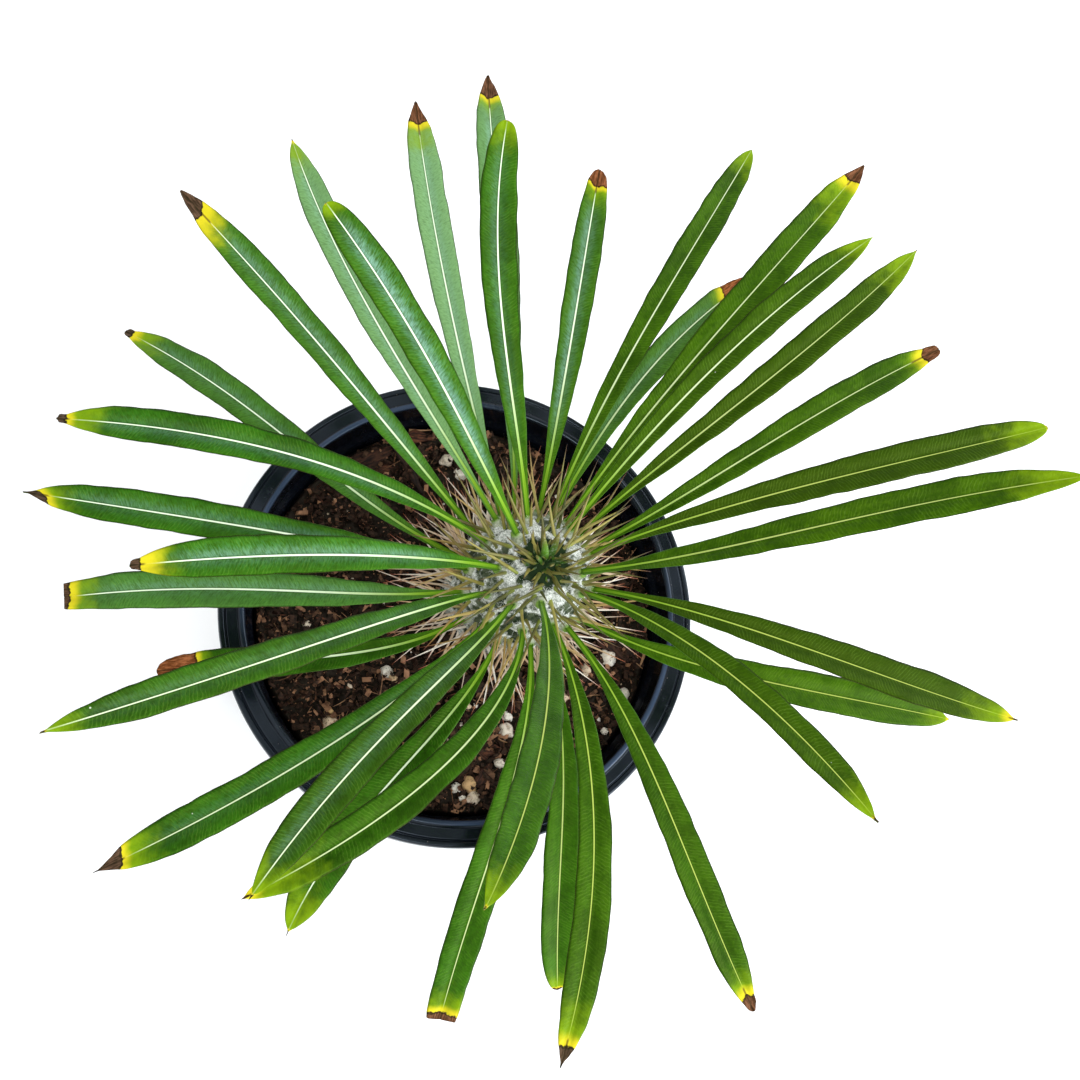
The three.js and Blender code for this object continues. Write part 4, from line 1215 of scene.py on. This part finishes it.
def leaf_blade(leaf, material):
    """One leaf: a tube shaped to a thin folded blade with a raised midrib and waved margins."""
    line = leaf_line(leaf)
    seat = leaf_seat(leaf) + PLANT
    fold = math.radians(BLADE.fold)
    warmth = 0.5 + 0.5 * math.cos(math.radians(leaf.side + leaf.turn))
    # Midrib hue by heading, painted paler on left-pointing leaves as a highlight.
    rib_hue_and_light = 0.5 + 0.5 * math.cos(math.radians(leaf.side + leaf.turn + 40))
    bm = leaf_tube()
    names = ("blade", "end", "kind", "turned", "sheen_paint")
    blade, end, kind, turned, sheen_paint = [bm.verts.layers.float_vector.new(name) for name in names]
    for vert in bm.verts:
        share = 1 - (1 - vert.co.z) ** 1.3
        across_share, face = section_spot(vert.co)
        away = abs(across_share)
        along = share * leaf.length
        left = leaf.length - along
        point, across, up = along_line(line, share)

        grown = smoothstep(share, 0.1, 0.4)
        hand = math.copysign(1, across_share)
        uneven = BLADE.wobble * ripple(along / BLADE.wobbles, leaf.number * 3.7, hand * 5)
        uneven += BLADE.shiver * ripple(along / BLADE.shivers, leaf.number * 5.3, hand * 2)
        uneven = uneven * grown * min(1, left / BLADE.even_end)
        back = leaf.withered + leaf.notch * (1 - away) + leaf.skew * across_share
        edge = left - back - WITHERED.ragged * ripple(across_share * 2, leaf.number * 7.7)
        dead = smoothstep(edge, 0.5, -1.5) if leaf.withered > 1 else 0
        slim = lerp(PETIOLE.slim, 1, smoothstep(share, 0.06, 0.26))
        half = (end_width(leaf, left) / 2 * slim + uneven * away) * (1 - WITHERED.shrinks * dead)
        aside = across_share * half

        ripe = smoothstep(share, 0, PETIOLE.thins)
        rim = lerp(PETIOLE.edge, BLADE.thickness * BLADE.rim, ripe)
        middle = lerp(PETIOLE.thickness, BLADE.midrib, ripe)
        keel = math.exp(-((aside / BLADE.keel_width) ** 2))
        thick = lerp(rim, middle, max(keel, 1 - away) if ripe < 0.5 else keel)
        thick *= (1 - away ** 6 * 0.85) * (1 - WITHERED.thins * dead)
        ridge = BLADE.ridge * math.exp(-((aside / BLADE.ridge_width) ** 2)) * ripe
        beside = (abs(aside) - BLADE.groove_out) / BLADE.groove_width
        groove = BLADE.groove * math.exp(-(beside ** 2)) * ripe
        swell = BLADE.bulge * away * (1 - away) * 4 * grown * half / 5.5
        waves = BLADE.wave * ripple(along / BLADE.waves, leaf.number * 1.9, hand * 3) * away ** 2 * grown
        waves *= min(1, left / BLADE.flat_end)
        long, wide = WITHERED.wrinkles
        creased = WITHERED.wrinkle * ripple(along / long, aside / wide, leaf.number)
        wrinkle = dead * (creased + WITHERED.curls * away)
        top = abs(aside) * math.sin(fold) + swell + waves + ridge - groove + middle / 2 + wrinkle
        level = top if face > 0 else top - ridge + groove - thick

        place = point + across * aside * math.cos(fold) + up * level
        vert.co = turned_about_z(place, leaf.side) + seat
        vert[blade] = (aside, along, across_share)
        vert[end] = (edge, edge / leaf.yellow, edge / (leaf.yellow + leaf.lime))
        vert[kind] = (leaf.tone, warmth, leaf.deep)
        # How much painted sheen this spot gets: on one half, beside the midrib, fading towards both ends.
        bloom = abs(leaf.bloom) * (1 if hand * leaf.bloom > 0 else 0.4) * smoothstep(share, 0.16, 0.34)
        bloom *= smoothstep(edge, 3, 16) * smoothstep(away, 1, 0.3)
        vert[sheen_paint] = (bloom, 0, 0)
        vert[turned] = (1 if face < 0 and away < 0.99 else 0, edge - 3 * leaf.notch, rib_hue_and_light)
    bmesh.ops.recalc_face_normals(bm, faces=bm.faces)
    node = f"leaf_{leaf.number:02d}"
    return finished(bm, f"{node}_blade", material, "leaf_green", node)


# ---------------------------------------------------------------- stem


def spiral_seats(spots, first, last, step, apart):
    """Places down the golden spiral that keep their distance from the spots already taken."""
    seats = []
    side, down = 0, first
    while down < last:
        side += GOLDEN_ANGLE
        spot = stem_point(side, down)
        if all(np.linalg.norm(other - spot) > apart for other in spots):
            seats.append((side, down, None))
            spots.append(spot)
        down += step
    return seats


def tubercle_seats():
    """Tubercles: one under each leaf, and bare ones down the golden spiral between them."""
    seats = [(leaf.side, leaf.down, leaf.rise) for leaf in LEAVES]
    spots = [stem_point(side, down) for side, down, _ in seats]
    return seats + spiral_seats(spots, TUBERCLE.first, TUBERCLE.last, TUBERCLE.step, TUBERCLE.apart)


def young_seats(seats):
    """The smallest tubercles round the growing tip, all wool and young spines."""
    spots = [stem_point(side, down) for side, down, _ in seats]
    return spiral_seats(spots, YOUNG.first, TUBERCLE.first, YOUNG.step, YOUNG.apart)


def relief_finder(seats):
    """A function from a spot on the smooth stem to the tubercles' height there, 0 to 1."""
    tree = kdtree.KDTree(len(seats))
    for i, (side, down, _) in enumerate(seats):
        tree.insert(Vector(stem_point(side, down)), i)
    tree.balance()

    def relief(spot):
        away = tree.find(Vector(spot))[2] / TUBERCLE.reach
        return (1 - away * away) ** 2 if away < 1 else 0

    return relief


def stem_skin(seats, material):
    relief = relief_finder(seats)
    downs = np.linspace(STEM.height, 0.6, int(STEM.height / STEM.ring))
    bevel_in, bevel_up = STEM.root_bevel
    collar_foot, collar_top = STEM.collar
    outline = [
        (0, -STEM.root_depth),
        (STEM.root_radius - bevel_in, -STEM.root_depth),
        (STEM.root_radius, -STEM.root_depth + bevel_up),
        (STEM.foot_radius, -collar_foot),
        (STEM.foot_radius, -collar_top),
        *((stem_radius(down), STEM.height - down) for down in downs),
        (0, STEM.height),
    ]
    bm = spun(outline, STEM.sides)
    layer = bm.verts.layers.float_vector.new("skin")
    for vert in bm.verts:
        wool, down, lump = 0, STEM.height, 0
        spot = np.array(vert.co)
        if vert.co.z >= 0:
            down = STEM.height - vert.co.z
            side = math.degrees(math.atan2(vert.co.y, vert.co.x))
            axis = stem_axis(down)
            spot[:2] += axis[:2]
            wool = relief(spot)
            lump = ripple(*(spot / 2.3))
            swell = WOOL.lumps * lump + WOOL.fluff * ripple(*(spot / 1.1))
            swell *= smoothstep(down, 0.5, 3) * smoothstep(vert.co.z, 0, 3)
            height = TUBERCLE.height * wool * min(1, down / TUBERCLE.grown)
            spot += pointing(side, stem_slope(down)) * (height + swell)
        vert.co = spot + PLANT
        vert[layer] = (wool, down, lump)
    return finished(bm, "stem_skin", material, "woolly_stem", "stem")


def leaf_cushions(seats, material):
    """The short stalks that carry the leaves, each cupping a leaf's foot."""
    spots = []
    for side, down, rise in seats:
        if rise is None:
            continue
        way = pointing(side, rise)
        root = stem_point(side, down) + PLANT - way * CUSHION.sunk
        long = CUSHION.height + CUSHION.sunk + CUSHION.overlap
        spots.append((0, placed(root, way, (CUSHION.foot, CUSHION.foot, long)), down, 0))
    bm = planted([strand(6, 14, 0, 1 - CUSHION.top / CUSHION.foot)], spots)
    return finished(bm, "leaf_cushions", material, "woolly_stem", "stem")


def blade_lines():
    """Every leaf's middle line with its ways across and half widths, in the plant's axes."""
    points, acrosses, halves = [], [], []
    for leaf in LEAVES:
        seat = leaf_seat(leaf)
        for step, (point, across, _) in enumerate(leaf_line(leaf)):
            points.append(turned_about_z(point, leaf.side) + seat)
            acrosses.append(turned_about_z(across, leaf.side))
            halves.append(leaf_width(leaf, step / LEAF_STEPS) / 2)
    return np.array(points), np.array(acrosses), np.array(halves)


def is_clear(root, way, length, blades):
    """Whether a needle stays clear of every blade and of the soil."""
    points, acrosses, halves = blades
    outs = np.arange(SPINE.probe_from, length + SPINE.beyond + 1e-9, SPINE.probe_step)
    spots = root + outs[:, None] * way
    if (spots[:, 2] < SPINE.floor).any():
        return False
    away = spots[:, None, :] - points
    along = np.clip((away * acrosses).sum(2), -halves, halves)
    away -= along[:, :, None] * acrosses
    return (away ** 2).sum(2).min() >= SPINE.room ** 2


def clear_way(root, side, slope, length, blades):
    """The way nearest to the wished one that is clear, bent sideways and up or down by turns."""
    for bend in SPINE.bends:
        for aside, up in ((1, 0), (-1, 0), (0, 1), (0, -1), (1, 1), (-1, 1)):
            way = pointing(side + aside * bend, slope + up * bend)
            if is_clear(root, way, length, blades):
                return way
    return None


def spine_spots(seats, blades):
    """Each tubercle bears a pair of long spines and a shorter one above them."""
    draw = seeded(11)

    def stray():
        return lerp(-SPINE.wander, SPINE.wander, draw())

    spots = []
    for side, down, _ in seats:
        middle = stem_point(side, down)
        tangent = pointing(side + 90, 0)
        upward = pointing(side, stem_slope(down) + 90)
        slope = lerp(*SPINE.slopes, clamp(down / SPINE.lowest, 0, 1))
        grown = SPINE.length * lerp(SPINE.young, 1, smoothstep(down, *SPINE.ripe))
        for hand in (-1, 0, 1):
            length = grown * lerp(*SPINE.vary, draw()) * (SPINE.middle if hand == 0 else 1)
            lift = slope + stray() + (SPINE.lift if hand == 0 else 0)
            around = side + hand * SPINE.spread + stray()
            root = middle + tangent * hand * SPINE.aside
            if hand == 0:
                root = root + upward * SPINE.above
            for share in SPINE.shares:
                way = clear_way(root, around, lift, length * share, blades)
                if way is not None:
                    spots.append((root, way, length * share, down))
                    break
    return spots


def extra_spines(seats, young, blades):
    """Young spines round the tip, and the dense thicket of thin ones round the stem's foot."""
    draw = seeded(47)

    def stray(most):
        return lerp(-most, most, draw())

    spots = []
    flat_from, flat_to = THICKET.flattens

    def grow(side, down, slope, length, kind):
        root = stem_point(side, down)
        way = clear_way(root, side + stray(kind.astray), slope, length, blades)
        if way is not None:
            spots.append((root, way, length, down, kind.radius))

    for side, down, _ in young:
        for hand in YOUNG.hands:
            slope = lerp(*YOUNG.slopes, down / TUBERCLE.first) + stray(YOUNG.lifted)
            grow(side + hand, down, slope, lerp(*YOUNG.length, draw()), YOUNG)
    for side, down, _ in seats:
        if down < THICKET.above:
            continue
        for hand in THICKET.hands:
            flatter = clamp((down - flat_from) / (flat_to - flat_from), 0, 1)
            slope = lerp(*THICKET.slopes, flatter) + stray(THICKET.lifted)
            side_on = side + hand / 4 + stray(THICKET.aside)
            grow(side_on, down + stray(THICKET.shifted), slope, lerp(*THICKET.length, draw()), THICKET)
    for i in range(THORN.count):
        share = i / THORN.count
        slope = lerp(*THORN.slopes, share) + stray(THORN.lifted)
        grow(GOLDEN_ANGLE * i, lerp(*THORN.down, share ** 1.5), slope, lerp(*THORN.length, draw()), THORN)
    return spots


def sunk_in(root, way, length, radius, roll):
    """Plants a needle with its foot sunk into the stem."""
    start = root + PLANT - way * SPINE.sunk
    return placed(start, way, (radius, radius, length + SPINE.sunk), roll)


def spine_needles(spots, extra, material):
    tone = seeded(5)
    rows = []
    for root, way, length, down in spots:
        thinner = lerp(1, SPINE.thins, smoothstep(down, *SPINE.thins_over))
        radius = SPINE.radius * thinner * lerp(*SPINE.thick, tone())
        rows.append((root, way, length, down, radius))
    rows += extra
    spots = []
    for i, (root, way, length, down, radius) in enumerate(rows):
        place = sunk_in(root, way, length, radius, math.tau * tone())
        spots.append((i, place, down, tone()))
    shapes = [strand(7, 7, bend, 0.93, 1, 1.3) for bend in (0.0, 0.4, 0.9, -0.6)]
    bm = planted(shapes, spots)
    return finished(bm, "spine_needles", material, "woolly_stem", "stem")


def stem_wool(seats, material):
    """Short silvery hairs, matted on every tubercle."""
    draw = seeded(17)
    relief = relief_finder(seats)
    rows = []
    for side, down, _ in seats:
        for _ in range(WOOL.hairs):
            turn = math.tau * draw()
            out = TUBERCLE.reach * WOOL.spread * math.sqrt(draw())
            new_down = clamp(down - out * math.sin(turn), 2, STEM.height - 1)
            around = side + math.degrees(out * math.cos(turn) / max(6, stem_radius(new_down)))
            spot = stem_point(around, new_down)
            normal = pointing(around, stem_slope(new_down))
            height = TUBERCLE.height * relief(spot) * min(1, new_down / TUBERCLE.grown)
            root = spot + normal * (height - WOOL.sunk)
            flat = pointing(around + lerp(*WOOL.turn, draw()), lerp(*WOOL.slope, draw()))
            way = normal * lerp(*WOOL.rise, draw()) + flat
            way = way / np.linalg.norm(way)
            length = lerp(*WOOL.length, draw() ** 1.5)
            place = placed(root + PLANT, way, (WOOL.radius, WOOL.radius, length), math.tau * draw())
            rows.append((int(4 * draw()), place, draw(), new_down))
    shapes = [strand(3, 3, bend, 0.85) for bend in (2, 4, -3, 6)]
    bm = planted(shapes, rows)
    return finished(bm, "stem_wool", material, "woolly_stem", "stem")


def tip_spots(blades):
    """The growing tip: places of its stout young spines and of its leaf buds."""
    draw = seeded(23)
    spikes, buds = [], []

    def grow(found, i, out, slope, length, radius):
        side = GOLDEN_ANGLE * i
        root = stem_axis(TIP.low) + pointing(side, 0) * out
        way = clear_way(root, side, slope, length, blades)
        if way is not None:
            found.append((root, way, length, radius))

    for i in range(TIP.spikes):
        outward = i / (TIP.spikes - 1)
        length = lerp(*TIP.spike_length, draw())
        slope = lerp(*TIP.spike_slope, outward)
        grow(spikes, i, lerp(*TIP.spike_ring, outward), slope, length, TIP.spike_radius)
    for i in range(TIP.buds):
        length = lerp(*TIP.bud_length, draw())
        slope = lerp(*TIP.bud_slope, draw())
        grow(buds, TIP.spikes + i, TIP.bud_ring, slope, length, TIP.bud_radius)
    return spikes, buds


def growing_tip(blades, spine_material, bud_material):
    spikes, buds = tip_spots(blades)
    draw = seeded(71)
    rows = []
    for i, (root, way, length, radius) in enumerate(spikes):
        place = sunk_in(root, way, length, radius * TIP.spike_slim, math.tau * draw())
        rows.append((i, place, 4, draw() * 0.5))
    bm = planted([strand(6, 8, bend, 0.93, 1, 1.25) for bend in (0.1, 0.4)], rows)
    finished(bm, "tip_spikes", spine_material, "woolly_stem", "stem")

    rows = []
    for i, (root, way, length, radius) in enumerate(buds):
        place = sunk_in(root, way, length, radius, math.tau * draw())
        rows.append((i, place, draw(), 0))
    for i in range(BUDLET.count):
        side = GOLDEN_ANGLE * i + BUDLET.turned
        out = lerp(*BUDLET.ring, (i / (BUDLET.count - 1)) ** 0.8)
        outward = out / BUDLET.ring[1]
        way = pointing(side, lerp(*BUDLET.slope, outward))
        root = stem_axis(lerp(*BUDLET.down, outward)) + pointing(side, 0) * out + PLANT - way
        wide = lerp(*BUDLET.width, draw())
        # Painted light: budlets that face the key light, at -50 degrees, get a lighter green, with random
        # tone on top.
        lit = math.cos(math.radians(side - BUDLET.green_side))
        fresh = smoothstep(lit, 0.2, 0.9) * draw() + 0.15
        place = placed(root, way, (wide, wide, lerp(*BUDLET.length, draw())), math.tau * draw())
        rows.append((i, place, fresh, 0))
    bm = planted([strand(6, 8, bend, 0.9, 0.5, 1.8) for bend in (0.3, 0.9, -0.6)], rows)
    finished(bm, "tip_buds", bud_material, "woolly_stem", "stem")


# ---------------------------------------------------------------- the potted plant


def build():
    pot_shell(pot_finish())
    # The bed is near black: dark soil with painted shade of the gaps between the crumbs.
    soil_bed(ground_finish("soil_mix_gap_shade", "020101", "0e0806", "2c1b14", 3.0, 0.7))
    soil_crumbs(ground_finish("crumbs", "0b0604", "38231b", "a87a5c", 1.2, 0.3))
    bark_chips(bark_finish())
    perlite_grains(perlite_finish())
    root_fibres(ground_finish("root_fibre", "2c1a12", "6b4530", "a8805f", 3.0, 0.5, 0.3))

    seats = tubercle_seats()
    young = young_seats(seats)
    blades = blade_lines()
    stem_skin(seats + young, skin_finish())
    leaf_cushions(seats, cushion_finish())
    spine_material = spine_finish()
    spine_needles(spine_spots(seats, blades), extra_spines(seats, young, blades), spine_material)
    stem_wool(seats + young, wool_finish())
    growing_tip(blades, spine_material, bud_finish())

    leaf_material = leaf_finish()
    for leaf in LEAVES:
        leaf_blade(leaf, leaf_material)


# ---------------------------------------------------------------- studio


def studio():
    scene = bpy.context.scene
    scene.view_settings.view_transform = "Standard"

    bm = bmesh.new()
    bmesh.ops.create_grid(bm, x_segments=1, y_segments=1, size=3)
    floor = bpy.data.objects.new("floor", template(bm, "floor"))
    scene.collection.objects.link(floor)
    material, tree, surface = finish("pale_floor", roughness=0.9, specular=0.2)
    place = lay(tree, "ShaderNodeTexCoord", "Object")
    patch = lay(tree, "ShaderNodeTexNoise", "Fac", {"Vector": place, "Scale": 3.0, "Detail": 1.0})
    link(surface.inputs["Base Color"], blend(patch, "f6f4f2", "fbfbfb"))
    floor.data.materials.append(material)

    world = bpy.data.worlds.new("studio")
    world.use_nodes = True
    sky = world.node_tree.nodes["Background"]
    sky.inputs["Color"].default_value = (0.95, 0.975, 1, 1)
    sky.inputs["Strength"].default_value = 1.0
    scene.world = world

    soft_light("key", (1.0, -0.6, 1.05), 0.7, 13, (0.92, 0.965, 1))
    soft_light("low", (0.9, -1.0, 0.5), 0.4, 7, (0.85, 0.93, 1))
    soft_light("side", (0.95, 0.6, 1.25), 0.6, 6, (0.92, 0.965, 1))
    soft_light("fill", (-0.25, -0.55, 1.5), 0.45, 8, (0.95, 0.98, 1))

    data = bpy.data.cameras.new("camera")
    data.lens = CAMERA.lens
    data.sensor_width = CAMERA.sensor
    camera = bpy.data.objects.new("camera", data)
    camera.location = CAMERA.place
    camera.rotation_euler = [math.radians(turn) for turn in CAMERA.turn]
    scene.collection.objects.link(camera)
    scene.camera = camera


def soft_light(name, place, size, power, tint):
    """A square soft box that faces the plant."""
    data = bpy.data.lights.new(name, "AREA")
    data.shape = "SQUARE"
    data.size = size
    data.energy = power
    data.color = tint
    lamp = bpy.data.objects.new(name, data)
    lamp.location = place
    aim = Vector(PLANT) * MM - Vector(place)
    lamp.rotation_euler = aim.to_track_quat("-Z", "Y").to_euler()
    bpy.context.scene.collection.objects.link(lamp)


studio()
build()
